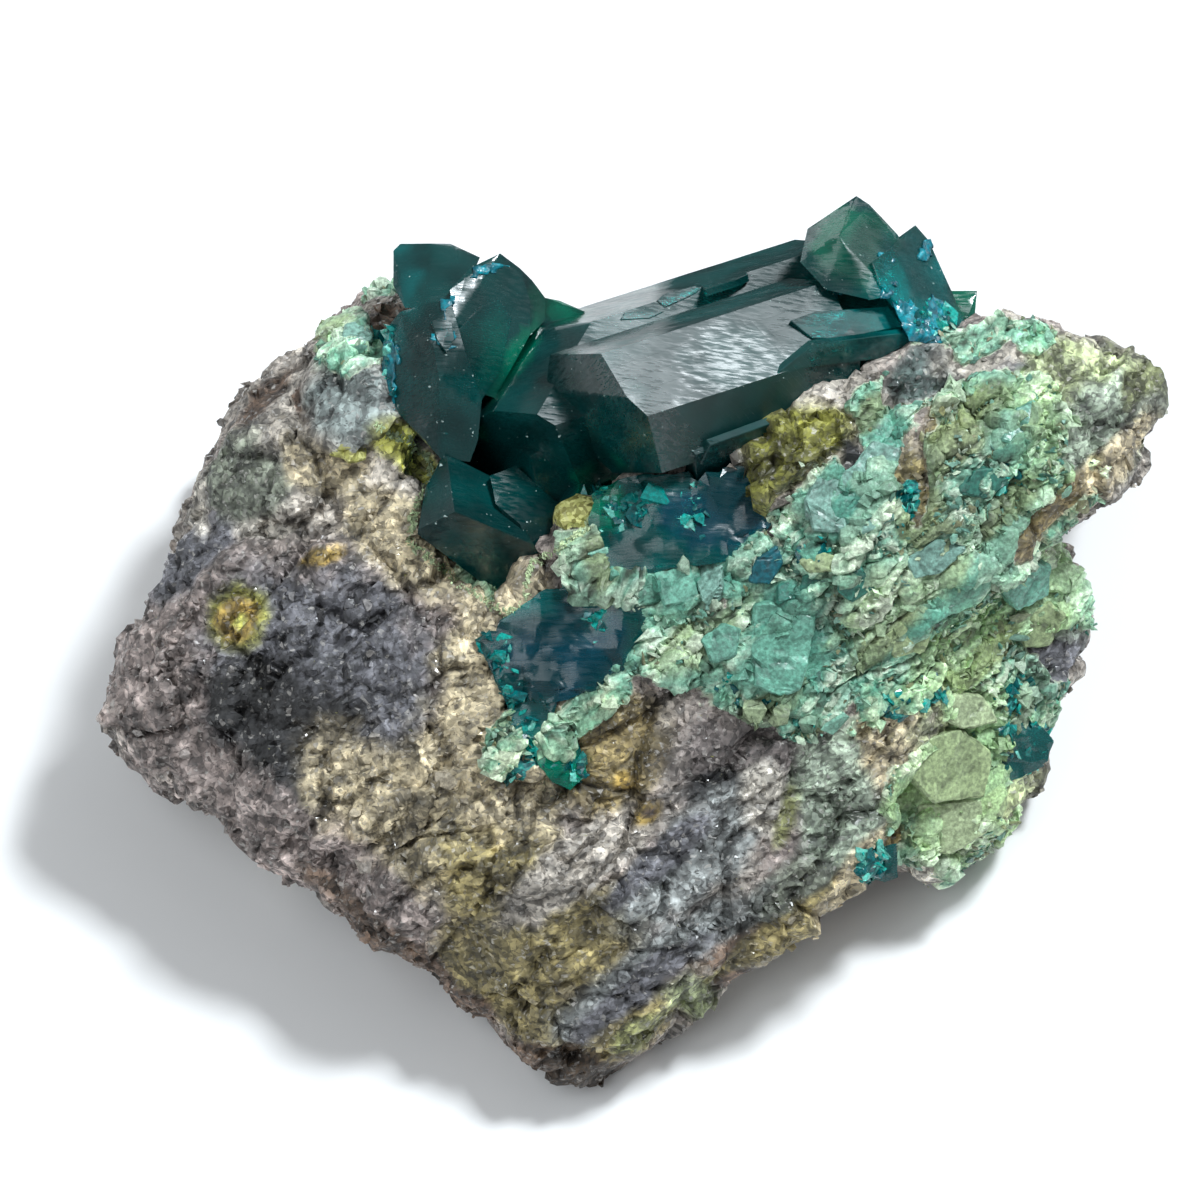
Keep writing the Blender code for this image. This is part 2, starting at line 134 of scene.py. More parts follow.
def facings(mesh):
    flat = np.empty(len(mesh.vertices) * 3)
    mesh.vertices.foreach_get("normal", flat)
    return flat.reshape(-1, 3)


def movePoints(mesh, places):
    mesh.vertices.foreach_set("co", places.reshape(-1).astype(np.float32))
    mesh.update()


def paint(mesh, name, colours):
    layer = mesh.color_attributes.new(name, "FLOAT_COLOR", "POINT")
    opaque = np.column_stack([colours, np.ones(len(colours))])
    layer.data.foreach_set("color", opaque.reshape(-1).astype(np.float32))


def colourLayer(mesh, name):
    flat = np.empty(len(mesh.vertices) * 4, np.float32)
    mesh.color_attributes[name].data.foreach_get("color", flat)
    return flat.reshape(-1, 4)


def mixIn(colours, colour, weight):
    colours += (np.array(colour) - colours) * weight[:, None]


# noise over many points
def rumple(places, size, seed, octaves=3):
    # soft fractal noise, about -1 to 1
    shift = Vector((seed * 7.3, seed * 3.1, seed * 5.7))
    return np.array([noise.fractal(Vector(p) / size + shift, 0.9, 2.1, octaves) for p in places])


def shards(places, size, seed, stretch=1.0):
    # the surface broken into flat tilted pieces: height, a shade for each piece, and the crack between them
    if stretch != 1:
        along = np.array(crustLay)
        places = places - np.outer(places @ along, along) * (1 - 1 / stretch)
    shift = Vector((seed * 4.7, seed * 9.2, seed * 2.9))
    height = np.empty(len(places))
    shade = np.empty(len(places))
    crack = np.empty(len(places))
    for i, p in enumerate(places):
        q = Vector(p) / size + shift
        far, middles = noise.voronoi(q)
        tilt = noise.cell_vector(middles[0] * 13.7)
        height[i] = (q - middles[0]).dot(tilt * 2 - Vector((1, 1, 1))) + tilt.x * 0.4
        shade[i] = tilt.y
        crack[i] = far[1] - far[0]
    return height * size, shade, crack


def smoothStep(low, high, x):
    t = np.clip((x - low) / (high - low), 0, 1)
    return t * t * (3 - 2 * t)


# colours
def srgb(r, g, b):
    return tuple((c / 255 / 12.92) if c < 10.3 else ((c / 255 + 0.055) / 1.055) ** 2.4 for c in (r, g, b))


rockColours = {
    "greyQuartz": srgb(132, 126, 118),
    "mauveQuartz": srgb(114, 104, 100),
    "slate": srgb(77, 77, 81),
    "charcoal": srgb(34, 34, 35),
    "tan": srgb(148, 137, 113),
    "amber": srgb(106, 94, 64),
    "olive": srgb(116, 106, 72),
    "paleOlive": srgb(116, 118, 78),
    "brown": srgb(84, 69, 58),
    "bandGrey": srgb(102, 105, 104),
    "greenGrey": srgb(112, 122, 108),
    "mossGrey": srgb(84, 88, 78),
    "paleQuartz": srgb(150, 145, 136),
    "seaGrey": srgb(120, 142, 128),
    "yellowGreen": srgb(128, 136, 102),
    "mustard": srgb(98, 98, 46),
    "smoky": srgb(86, 80, 78),
    # lighter than the velvet's own yellow: painted light where it lies in the crystal's shade
    "velvet": srgb(168, 168, 88),
    "spotYellow": srgb(118, 99, 52),
    "coolGrey": srgb(100, 108, 106),
    "seaSlate": srgb(64, 76, 73),
    "darkOlive": srgb(74, 78, 54),
    "umber": srgb(58, 46, 34),
}

# colours of the rock by place, later over earlier; a patch is its middle, length and width in pixels, and
# the turn of its length from level in degrees
rockPatches = [
    ("mauveQuartz", (190, 660, 260, 240, 60), (310, 840, 400, 110, -38)),
    ("greyQuartz", (330, 440, 200, 240, 60)),
    ("slate", (330, 680, 300, 210, -28)),
    ("charcoal", (300, 740, 210, 110, -30), (255, 690, 110, 70, 0)),
    ("slate", (190, 560, 120, 50, 45)),
    ("tan", (400, 540, 270, 70, -42), (490, 700, 130, 300, -20), (430, 830, 260, 120, -35),
     (520, 780, 90, 150, 0)),
    ("greyQuartz", (300, 505, 120, 60, 10)),
    ("mossGrey", (245, 478, 110, 80, -30)),
    ("paleQuartz", (200, 505, 30, 70, 0), (268, 530, 60, 26, 5)),
    ("tan", (335, 470, 80, 60, 0)),
    ("brown", (268, 400, 90, 26, 50), (312, 408, 20, 60, 20), (385, 330, 40, 46, 20)),
    ("coolGrey", (355, 408, 90, 80, -30)),
    ("seaGrey", (350, 360, 90, 50, -30)),
    ("amber", (600, 745, 150, 70, 50), (632, 775, 120, 60, 50)),
    ("olive", (530, 915, 230, 130, -35), (520, 1000, 190, 70, -42), (590, 925, 300, 60, 34)),
    ("greyQuartz", (590, 860, 220, 60, 35)),
    ("smoky", (735, 765, 170, 110, 10)),
    ("charcoal", (715, 785, 70, 36, 15)),
    ("bandGrey", (700, 850, 220, 90, 40)),
    ("slate", (655, 860, 160, 34, 42)),
    ("paleQuartz", (770, 800, 60, 90, 20)),
    ("paleOlive", (790, 810, 22, 90, -20)),
    ("mossGrey", (800, 890, 170, 70, 30)),
    ("greenGrey", (835, 800, 90, 120, 10), (840, 760, 110, 80, 40)),
    ("bandGrey", (660, 965, 280, 56, 37)),
    ("slate", (640, 990, 170, 40, 40)),
    ("olive", (640, 1030, 160, 40, 35)),
    ("yellowGreen", (700, 985, 80, 60, 35)),
    ("paleOlive", (640, 1035, 70, 34, 40)),
    ("umber", (560, 1060, 180, 38, -15)),
    ("brown", (430, 970, 330, 26, -41), (735, 980, 50, 26, 30), (760, 935, 180, 26, 25)),
    ("olive", (800, 950, 190, 30, 35)),
    ("amber", (890, 830, 150, 34, 60), (882, 715, 60, 90, 10)),
    ("brown", (900, 735, 34, 80, 10)),
    ("mossGrey", (930, 690, 150, 40, 48)),
    ("tan", (892, 735, 56, 110, -5)),
    ("brown", (908, 800, 24, 120, 8)),
    ("tan", (850, 885, 150, 34, 52)),
    ("seaSlate", (920, 378, 84, 46, 30)),
    ("slate", (1020, 370, 90, 50, 35)),
    ("greyQuartz", (1000, 345, 120, 50, 20)),
    ("yellowGreen", (1080, 390, 150, 110, 20)),
    ("greenGrey", (1070, 450, 200, 90, 40)),
    ("darkOlive", (1148, 395, 54, 64, 0)),
    ("mossGrey", (1130, 440, 120, 40, 48)),
    ("slate", (1105, 465, 70, 26, 45)),
    ("tan", (1090, 480, 170, 34, 45)),
    ("amber", (1050, 510, 110, 34, 45)),
    ("olive", (912, 500, 46, 130, 5), (950, 420, 90, 40, 45)),
    ("mustard", (800, 450, 130, 66, 30)),
    ("charcoal", (850, 456, 22, 36, 20)),
    ("mustard", (237, 618, 70, 64, 0)),
    ("spotYellow", (237, 620, 50, 44, 20)),
    ("velvet", (240, 623, 18, 14, 0)),
    ("spotYellow", (322, 558, 52, 14, 15), (648, 812, 36, 24, 40)),
    ("brown", (650, 812, 12, 9, 40)),
    ("spotYellow", (626, 782, 24, 22, 0)),
    ("olive", (480, 975, 70, 34, -30)),
    # the velvet under the crystal, painted lighter than its own colour as painted light against the crystal's
    # shade
    ("velvet", (394, 442, 80, 40, -35), (420, 470, 40, 34, -45)),
    ("yellowGreen", (960, 640, 200, 80, 45), (980, 760, 170, 190, 0)),
    ("greenGrey", (1050, 600, 110, 120, 0)),
    ("slate", (1050, 660, 80, 60, 30)),
    ("paleQuartz", (950, 850, 120, 60, 20)),
]

# what has grown over the rock: mint crust, yellow velvet and teal film
crustPatches = {
    "mint": [
        (860, 460, 150, 110, 20), (880, 410, 160, 60, 40), (960, 350, 100, 34, 10), (1030, 345, 50, 26, 10),
        (850, 505, 120, 110, 20), (970, 470, 240, 130, 45), (960, 560, 300, 130, 38), (840, 610, 280, 170, 32),
        (700, 600, 190, 150, 30), (650, 560, 110, 100, 30), (640, 650, 110, 50, 40), (800, 670, 200, 120, 0),
        (900, 660, 180, 90, 40), (590, 560, 60, 90, 20), (600, 700, 90, 34, 40), (565, 730, 70, 26, 40),
        (505, 740, 36, 70, -20), (480, 600, 90, 40, -45), (440, 545, 90, 26, -52), (1030, 590, 130, 110, 0),
        (1000, 700, 120, 170, 20), (940, 800, 120, 150, 30), (985, 840, 100, 80, 0), (393, 302, 60, 40, 0),
        (345, 335, 60, 50, 0), (350, 362, 100, 40, -35), (408, 380, 22, 90, 15),
    ],
    "yellow": [
        (352, 450, 40, 16, -10), (578, 515, 40, 34, 40),
    ],
    "teal": [
        (724, 680, 40, 34, 0), (775, 712, 90, 26, -12), (530, 745, 40, 90, -30), (570, 775, 44, 50, 10),
        (508, 770, 30, 26, 0), (766, 568, 24, 60, -40), (905, 505, 26, 60, -20), (1015, 690, 44, 60, 20),
        (1035, 745, 50, 70, 0), (875, 865, 40, 34, 30), (892, 705, 40, 34, 0), (376, 352, 50, 34, -40),
        (385, 390, 18, 60, 10), (815, 545, 34, 22, 0), (940, 335, 60, 40, 30), (480, 592, 30, 14, -35),
        (930, 690, 50, 26, 40), (1000, 480, 40, 40, 20), (600, 520, 26, 90, 0),
    ],
}
# where the mint leaves the rock bare
bareSpots = [
    (800, 450, 140, 72, 30), (850, 456, 30, 44, 20), (394, 442, 90, 46, -35), (237, 618, 60, 60, 0),
    (915, 380, 90, 46, 30), (912, 480, 40, 110, 5), (1050, 515, 110, 26, 45), (705, 575, 12, 70, 30),
]


def patchWeight(places, tree, patch, wobble):
    px, py, length, width, turn = patch
    middle, _ = lookAlong(tree, px, py)
    turn = math.radians(turn)
    along = viewRight * math.cos(turn) + viewUp * math.sin(turn)
    across = viewUp * math.cos(turn) - viewRight * math.sin(turn)
    half = 0.5 / view["pixels"]
    reach = max(width, 0.6 * length) * half * 1.6
    away = places - np.array(middle)
    parts = ((along, length * half), (across, width * half), (towardsEye, reach))
    r = np.sqrt(sum((away @ np.array(way) / size) ** 2 for way, size in parts))
    return smoothStep(1.25, 0.75, r + wobble)


def spread(places, tree, patches, wobble):
    return np.max([patchWeight(places, tree, patch, wobble) for patch in patches], axis=0)


rockLook = {
    "voxel": 0.292,  # mm
    "shards": ((3.4, 0.20), (1.5, 0.24), (0.66, 0.26)),  # size in mm and steepness of the broken faces
    "cracks": (0.16, 0.10),  # depth of the wide and the narrow cracks, mm
    "gain": 1.52,  # how much lighter the stone is than its painted shade
    "crustRise": 0.15,  # how far the crusted rock stands out, mm
    "grow": 0.04,  # how far the rock stands out all over, mm
    "floor": 0.5,  # below this height the rock keeps its flat foot, mm
    "reach": 1.2,  # how near the crystals the rock is drawn to them, mm
    "mustard": (800, 450, 120, 60, 30),  # the lumpy mustard patch under the long crystal
}


def makeRock(crystals):
    piece = asObject("rockBody", nodeCopy("matrix"))
    remesh = piece.modifiers.new("even mesh", "REMESH")
    remesh.mode = "VOXEL"
    remesh.voxel_size = rockLook["voxel"]
    withModifiers(piece)
    mesh = piece.data
    places, outwards = points(mesh), facings(mesh)
    tree = BVHTree.FromPolygons([Vector(p) for p in places], [tuple(f.vertices) for f in mesh.polygons])
    print("rock remeshed:", len(places), "points")

    fine = rumple(places, 0.9, 2, 2)
    wobble = rumple(places, 3.5, 1) * 0.30 + fine * 0.16
    ground = np.tile(np.array(rockColours["greyQuartz"]), (len(places), 1))
    mixIn(ground, rockColours["mauveQuartz"], smoothStep(-0.5, 0.6, rumple(places, 7, 3)))
    for colour, *patches in rockPatches:
        for patch in patches:
            mixIn(ground, rockColours[colour], patchWeight(places, tree, patch, wobble))
    mint, yellow, teal = (spread(places, tree, patches, wobble) for patches in crustPatches.values())
    mint *= (1 - yellow) * (1 - spread(places, tree, bareSpots, wobble))
    print("rock painted")

    broken = [shards(places, size, i + 1, 1.5) for i, (size, _) in enumerate(rockLook["shards"])]
    (big, bigShade, bigCrack), (mid, midShade, midCrack), (small, smallShade, _) = broken
    bigSlope, midSlope, smallSlope = (slope for _, slope in rockLook["shards"])
    bigDepth, midDepth = rockLook["cracks"]
    calm = smoothStep(-0.1, 0.45, rumple(places, 4.0, 4))  # where the stone broke smooth
    lift = big * bigSlope + mid * midSlope * (1 - 0.6 * calm) + small * smallSlope * (1 - 0.8 * calm)
    lift -= bigDepth * smoothStep(0.10, 0.0, bigCrack) + midDepth * smoothStep(0.10, 0.0, midCrack) * (1 - calm)
    lift += rockLook["crustRise"] * mint + rockLook["grow"]
    lift += yellow * (0.22 + 0.45 * fine + 0.25 * mid)
    lumpy = smoothStep(0.3, 0.8, patchWeight(places, tree, rockLook["mustard"], wobble))
    lift += lumpy * (0.5 + 0.8 * fine + 0.3 * mid)
    lift *= smoothStep(0.0, rockLook["floor"], places[:, 2])
    places = places + outwards * lift[:, None]
    reach = rockLook["reach"]
    for i, place in enumerate(places):
        # the rock reaches the crystals that stand in it
        spot, _, _, away = crystals.find_nearest(Vector(place), reach)
        if spot is not None:
            places[i] += (np.array(spot) - place) * min(1.0, (1 - away / reach) ** 2 * 1.9)
    places[:, 2] = np.maximum(places[:, 2], 0)
    movePoints(mesh, places)

    shade = (0.74 + 0.42 * bigShade) * (0.66 + 0.62 * midShade) * (0.76 + 0.46 * smallShade)
    # painted shade: the stone's colour is darker in its wide and narrow cracks
    shade *= 1 - 0.55 * smoothStep(0.12, 0.0, bigCrack) * (1 - mint)
    shade *= 1 - 0.35 * smoothStep(0.12, 0.0, midCrack)
    # painted light and shade: raised small grains are painted lighter and sunk ones darker
    shade *= 1 + 0.6 * np.clip(small * smallSlope / 0.1, -0.7, 0.7) * (1 - 0.5 * calm)
    paint(mesh, "ground", ground * shade[:, None] * rockLook["gain"])
    paint(mesh, "crust", np.column_stack([mint, yellow, teal]))
    return piece, tree


crustLook = {
    "from": 0.22,  # share of mint where the crust begins
    "sink": 0.16,  # how far its edge lies under the rock, mm
    "rise": 0.20,  # how far it stands over the rock, mm
    "shards": ((2.3, 0.16), (0.95, 0.26), (0.40, 0.42)),  # size and steepness of its broken faces
    "hidden": 0.15,  # share of the rise below which it lies under the rock
    "thick": 0.4,  # mm
    "gain": 0.96,  # how light it is
}
mintColours = {
    "pale": srgb(184, 208, 180),
    "white": srgb(214, 222, 204),
    "mint": srgb(112, 176, 154),
    "sea": srgb(62, 132, 116),
    "moss": srgb(116, 124, 84),
    "lime": srgb(172, 192, 142),
    # the dark of the crust's painted shade in its hollows and cracks
    "pitShade": srgb(44, 52, 40),
    "sky": srgb(134, 178, 164),
    "teal": srgb(24, 104, 116),
    "limePale": srgb(186, 204, 160),
}
# where the crust is smooth and massive, yellowish or brownish: middle, length, width, turn
crustZones = {
    "smooth": [
        (848, 495, 100, 76, 25), (785, 650, 110, 96, 60), (632, 545, 56, 46, 20), (716, 560, 50, 84, 10),
        (680, 590, 46, 40, 0), (1000, 545, 90, 34, 40), (930, 610, 80, 26, 38), (1010, 430, 70, 50, 20),
        (905, 800, 90, 110, 20), (960, 770, 110, 130, 30), (350, 330, 50, 30, 0), (960, 590, 70, 40, 40),
        (990, 840, 90, 60, 0), (1045, 600, 60, 60, 0), (790, 600, 50, 40, 0), (900, 450, 50, 90, 20),
    ],
    "lime": [
        (900, 590, 150, 60, 35), (960, 650, 180, 70, 40), (960, 770, 160, 200, 0), (1040, 590, 90, 120, 0),
        (1080, 420, 160, 120, 30), (700, 640, 130, 40, 35), (345, 335, 60, 40, 0), (985, 850, 100, 60, 0),
    ],
    "moss": [
        (955, 440, 170, 50, 45), (925, 520, 60, 90, 20), (1010, 500, 120, 30, 45), (870, 415, 60, 30, 45),
        (980, 660, 110, 30, 45), (880, 640, 100, 24, 40), (770, 700, 80, 30, 30), (600, 560, 40, 60, 10),
    ],
}


def makeCrust(rock, tree):
    bm = bmesh.new()
    bm.from_mesh(rock.data)
    share = bm.verts.layers.float_color["crust"]
    bare = [f for f in bm.faces if max(v[share][0] for v in f.verts) < crustLook["from"]]
    bmesh.ops.delete(bm, geom=bare, context="FACES")
    bmesh.ops.subdivide_edges(bm, edges=bm.edges, cuts=1, use_grid_fill=True)
    bmesh.ops.smooth_vert(bm, verts=bm.verts, factor=0.3, use_axis_x=True, use_axis_y=True, use_axis_z=True)
    piece = asObject("mintCrust", bm)
    mesh = piece.data
    places, outwards = points(mesh), facings(mesh)
    mint = colourLayer(mesh, "crust")[:, 0]
    ground = colourLayer(mesh, "ground")[:, :3]
    drift = rumple(places, 1.5, 21)
    fine = rumple(places, 0.35, 22, 3)
    edge = drift * 0.25 + fine * 0.06
    smooth, lime, moss = (spread(places, tree, patches, edge) for patches in crustZones.values())
    over = smoothStep(0.30, 0.62, mint + drift * 0.22 + fine * 0.10)
    broken = [shards(places, size, 30 + i, 2.5) for i, (size, _) in enumerate(crustLook["shards"])]
    (big, bigShade, bigCrack), (mid, midShade, midCrack), (small, smallShade, _) = broken
    bigSlope, midSlope, smallSlope = (slope for _, slope in crustLook["shards"])
    crumbly = (1 - smooth) * (0.35 + 0.65 * smoothStep(-0.35, 0.25, drift))
    lift = crustLook["rise"] + big * bigSlope + smooth * 0.12
    lift += (mid * midSlope + small * smallSlope + fine * 0.07) * crumbly
    lift -= 0.22 * smoothStep(0.09, 0.0, bigCrack) * (1 - smooth)
    lift -= 0.12 * smoothStep(0.10, 0.0, midCrack) * crumbly
    lift = lift * over - crustLook["sink"] * (1 - over)
    lift *= smoothStep(0.2, 0.8, places[:, 2])
    movePoints(mesh, places + outwards * lift[:, None])
    # how high the crust's fine relief stands, which sets painted highlights on its ridges and painted shade in
    # its hollows
    high = smoothStep(-0.10, 0.16, mid * midSlope + small * smallSlope + fine * 0.10)
    tint = np.tile(np.array(mintColours["mint"]), (len(places), 1))
    wide = smoothStep(-0.3, 0.5, rumple(places, 3.0, 25))
    mixes = (
        ("sea", smoothStep(0.45, 0.9, bigShade) * 0.8),
        ("pale", smoothStep(0.5, 0.0, bigShade) * 0.5),
        ("moss", wide * 0.25 * (1 - smooth)),
        ("lime", lime * (0.45 + 0.4 * midShade)),
        ("moss", moss * 0.8),
        ("sea", smooth * 0.35 * (1 - lime)),
        # painted highlight: the crust's highest ridges are painted paler and whiter
        ("pale", high * crumbly * (0.35 + 0.4 * lime) * (1 - 0.7 * moss)),
        ("white", smoothStep(0.80, 1.0, high) * crumbly * (0.2 + 0.5 * midShade) * (1 - moss)),
        # painted shade: the crust's hollows and cracks are painted darker
        ("pitShade", (1 - high) ** 2.5 * crumbly * 0.95),
        ("pitShade", smoothStep(0.06, 0.0, bigCrack) * (1 - smooth) * 0.7),
        ("white", smoothStep(0.75, 0.45, over) * 0.6),
    )
    for name, weight in mixes:
        mixIn(tint, mintColours[name], weight)
    tint *= (0.72 + 0.56 * smallShade * (1 - smooth) + 0.34 * midShade)[:, None] * crustLook["gain"]
    paint(mesh, "tint", tint * 0.75 + tint * ground / ground.mean() * 0.25)
    # what lies under the rock goes
    shell = bmesh.new()
    shell.from_mesh(mesh)
    sunk = [f for f in shell.faces if max(over[v.index] for v in f.verts) <= crustLook["hidden"]]
    bmesh.ops.delete(shell, geom=sunk, context="FACES")
    shell.to_mesh(mesh)
    shell.free()
    thicken(piece, crustLook["thick"])
    return finish(piece, chipFinish("mint crust", 0.5, 0.3), "rock")


# materials
def nodeAdder(tree):
    def add(kind, inputs=None, **settings):
        node = tree.nodes.new("ShaderNode" + kind)
        for key, value in settings.items():
            setattr(node, key, value)
        for key, value in (inputs or {}).items():
            if isinstance(value, bpy.types.NodeSocket):
                tree.links.new(value, node.inputs[key])
            else:
                node.inputs[key].default_value = value
        return node

    return add


def newMaterial(name):
    material = bpy.data.materials.new(name)
    material.use_nodes = True
    material.node_tree.nodes.clear()
    return material, nodeAdder(material.node_tree)


def inMillimetres(add):
    return scaled(add, add("TexCoord").outputs["Object"], 1000)


def maths(add, operation, a, b=0.0, clamp=False):
    return add("Math", {0: a, 1: b}, operation=operation, use_clamp=clamp).outputs[0]


def plus(add, a, b, times=1.0):
    # a and so many times b
    return add("Math", {0: b, 1: times, 2: a}, operation="MULTIPLY_ADD").outputs[0]


def noiseAt(add, where, perMm, detail, roughness=0.5):
    inputs = {"Vector": where, "Scale": perMm, "Detail": detail, "Roughness": roughness}
    return add("TexNoise", inputs).outputs[0]


def reachAlong(add, where, way):
    return add("VectorMath", {0: where, 1: tuple(way)}, operation="DOT_PRODUCT").outputs["Value"]


def scaled(add, vector, by):
    return add("VectorMath", {0: vector, "Scale": by}, operation="SCALE").outputs[0]


def raised(add, height):
    # a height in mm
    return add("Bump", {"Height": height, "Strength": 1.0, "Distance": 0.001}).outputs[0]


def span(add, value, low, high, newLow=0.0, newHigh=1.0):
    inputs = {"Value": value, "From Min": low, "From Max": high, "To Min": newLow, "To Max": newHigh}
    return add("MapRange", inputs, interpolation_type="SMOOTHSTEP").outputs[0]


def blend(add, share, a, b, kind="MIX"):
    node = add("Mix", data_type="RGBA", blend_type=kind)
    tree = node.id_data
    for index, value in ((0, share), (6, a), (7, b)):
        if isinstance(value, bpy.types.NodeSocket):
            tree.links.new(value, node.inputs[index])
        elif index == 0:
            node.inputs[index].default_value = value
        else:
            node.inputs[index].default_value = (*value, 1)
    return node.outputs[2]


def ramp(add, value, *stops):
    node = add("ValToRGB", {0: value})
    bar = node.color_ramp
    while len(bar.elements) < len(stops):
        bar.elements.new(1)
    for element, (place, colour) in zip(bar.elements, stops):
        element.position = place
        element.color = (*colour, 1)
    return node.outputs[0]


def grains(add, where, perMm):
    # small flat tilted grains: their height, and a random shade for each
    cell = add("TexVoronoi", {"Vector": where, "Scale": perMm}, feature="F1")
    away = add("VectorMath", {0: where, 1: cell.outputs["Position"]}, operation="SUBTRACT").outputs[0]
    tilt = add("VectorMath", {0: cell.outputs["Color"], 1: (0.5, 0.5, 0.5)}, operation="SUBTRACT").outputs[0]
    height = add("VectorMath", {0: away, 1: tilt}, operation="DOT_PRODUCT").outputs["Value"]
    parts = add("SeparateColor", {0: cell.outputs["Color"]})
    return height, parts.outputs[0], parts.outputs[1], parts.outputs[2]


def warped(add, where, perMm, by):
    wave = add("TexNoise", {"Vector": where, "Scale": perMm, "Detail": 1.0}).outputs["Color"]
    shift = add("VectorMath", {0: wave, 1: (0.5, 0.5, 0.5)}, operation="SUBTRACT").outputs[0]
    return add("VectorMath", {0: where, 1: scaled(add, shift, by)}, operation="ADD").outputs[0]


def surfaced(add, colour, roughness, height, more):
    inputs = {"Base Color": colour, "Roughness": roughness, "Normal": raised(add, height), **more}
    return add("OutputMaterial", {"Surface": add("BsdfPrincipled", inputs).outputs[0]})


def rockFinish():
    material, add = newMaterial("rough quartz with mint crust")
    where = inMillimetres(add)
    bent = warped(add, where, 1.4, 0.5)
    # the crust lies in sheets that climb to the right
    sheets = {"Vector": bent, "Rotation": (0.35, 0.2, math.radians(-38)), "Scale": (0.45, 1, 1)}
    leaned = add("Mapping", sheets).outputs[0]
    ground = add("Attribute", attribute_name="ground").outputs["Color"]
    mintShare, yellowShare, tealShare = add(
        "SeparateColor", {0: add("Attribute", attribute_name="crust").outputs["Color"]}
    ).outputs

    coarse, coarseShade, coarseGloss, _ = grains(add, bent, 1.7)
    fine, fineShade, fineGloss, glintCells = grains(add, bent, 4.6)
    cloud = noiseAt(add, where, 1.1, 3.0, 0.62)
    grit = noiseAt(add, leaned, 4.2, 3.0, 0.7)
    drift = maths(add, "SUBTRACT", cloud, 0.5)

    tone = span(add, cloud, 0.3, 0.7, 0.62, 1.38)
    for shade, low, high in ((coarseShade, 0.62, 1.42), (fineShade, 0.55, 1.50)):
        tone = maths(add, "MULTIPLY", tone, span(add, shade, 0, 1, low, high))
    # painted glints: some fine grains are painted as pale specks, standing for light catching them
    pale = maths(add, "MULTIPLY", span(add, glintCells, 0.80, 0.97, 0, 0.5), span(add, grit, 0.45, 0.6))
    stone = blend(add, pale, scaled(add, ground, tone), srgb(206, 202, 196))
    stone = blend(add, span(add, grit, 0.42, 0.34, 0, 0.7), stone, srgb(40, 36, 34))

    mintEdge = plus(add, mintShare, drift, 1.1)
    isMint = span(add, mintEdge, 0.42, 0.54)
    rim = maths(add, "MULTIPLY", span(add, mintEdge, 0.36, 0.46), span(add, mintEdge, 0.62, 0.50))
    mint = ramp(
        add,
        grit,
        (0.30, srgb(44, 60, 50)),
        (0.42, srgb(92, 122, 100)),
        (0.52, srgb(134, 172, 148)),
        (0.63, srgb(170, 202, 176)),
        (0.74, srgb(212, 226, 204)),
    )
    greener = blend(add, span(add, cloud, 0.35, 0.65, 0, 0.6), mint, srgb(150, 172, 118), "MULTIPLY")
    mint = blend(add, 0.35, mint, greener)
    mint = blend(add, span(add, coarseShade, 0.55, 0.9, 0, 0.55), mint, srgb(98, 152, 132))
    mint = blend(add, 0.42, mint, ground, "OVERLAY")
    colour = blend(add, isMint, stone, mint)
    colour = blend(add, maths(add, "MULTIPLY", rim, 0.6), colour, srgb(206, 214, 190))

    yellowEdge = plus(add, yellowShare, maths(add, "SUBTRACT", grit, 0.5), 2.2)
    yellow = ((0.0, srgb(120, 116, 58)), (0.5, srgb(172, 172, 96)), (1.0, srgb(214, 214, 140)))
    yellow = ramp(add, fineShade, *yellow)
    colour = blend(add, span(add, yellowEdge, 0.45, 0.6), colour, yellow)
    teal = ramp(
        add,
        grit,
        (0.30, srgb(4, 52, 60)),
        (0.48, srgb(12, 104, 104)),
        (0.60, srgb(36, 152, 142)),
        (0.75, srgb(120, 208, 194)),
    )
    colour = blend(add, span(add, plus(add, tealShare, drift, 1.2), 0.48, 0.62), colour, teal)

    height = plus(add, maths(add, "MULTIPLY", coarse, 0.42), fine, 0.50)
    rough = span(add, maths(add, "MULTIPLY", coarseGloss, fineGloss), 0.30, 0.70, 0.62, 0.20)
    surfaced(add, colour, plus(add, rough, isMint, 0.12), height, {"IOR": 1.54})
    return material


# fields of etched lines on the grown crystals: middle in pixels, reach and spacing in mm, the way the lines
# run in the picture in degrees, their slope, and how much rougher they are
etchFields = [
    ((738, 382), 4.6, 0.34, -47, 0.115, 0.08),
    ((712, 345), 7.4, 0.80, 18, 0.03, 0.20),
    ((412, 372), 3.6, 0.40, 66, 0.22, 0.08),
    ((470, 330), 3.4, 0.90, 72, 0.10, 0.06),
    ((855, 240), 3.0, 0.60, -35, 0.14, 0.06),
]


# how strongly light dies away inside per metre, how much passes, height of the growth lines in mm, the least
# roughness and the shine
dioptase = {
    "dark dioptase": (2800, 0.86, 0.004, 0.05, 0.5),
    "broken dioptase": (6500, 0.80, 0.008, 0.09, 0.25),
}


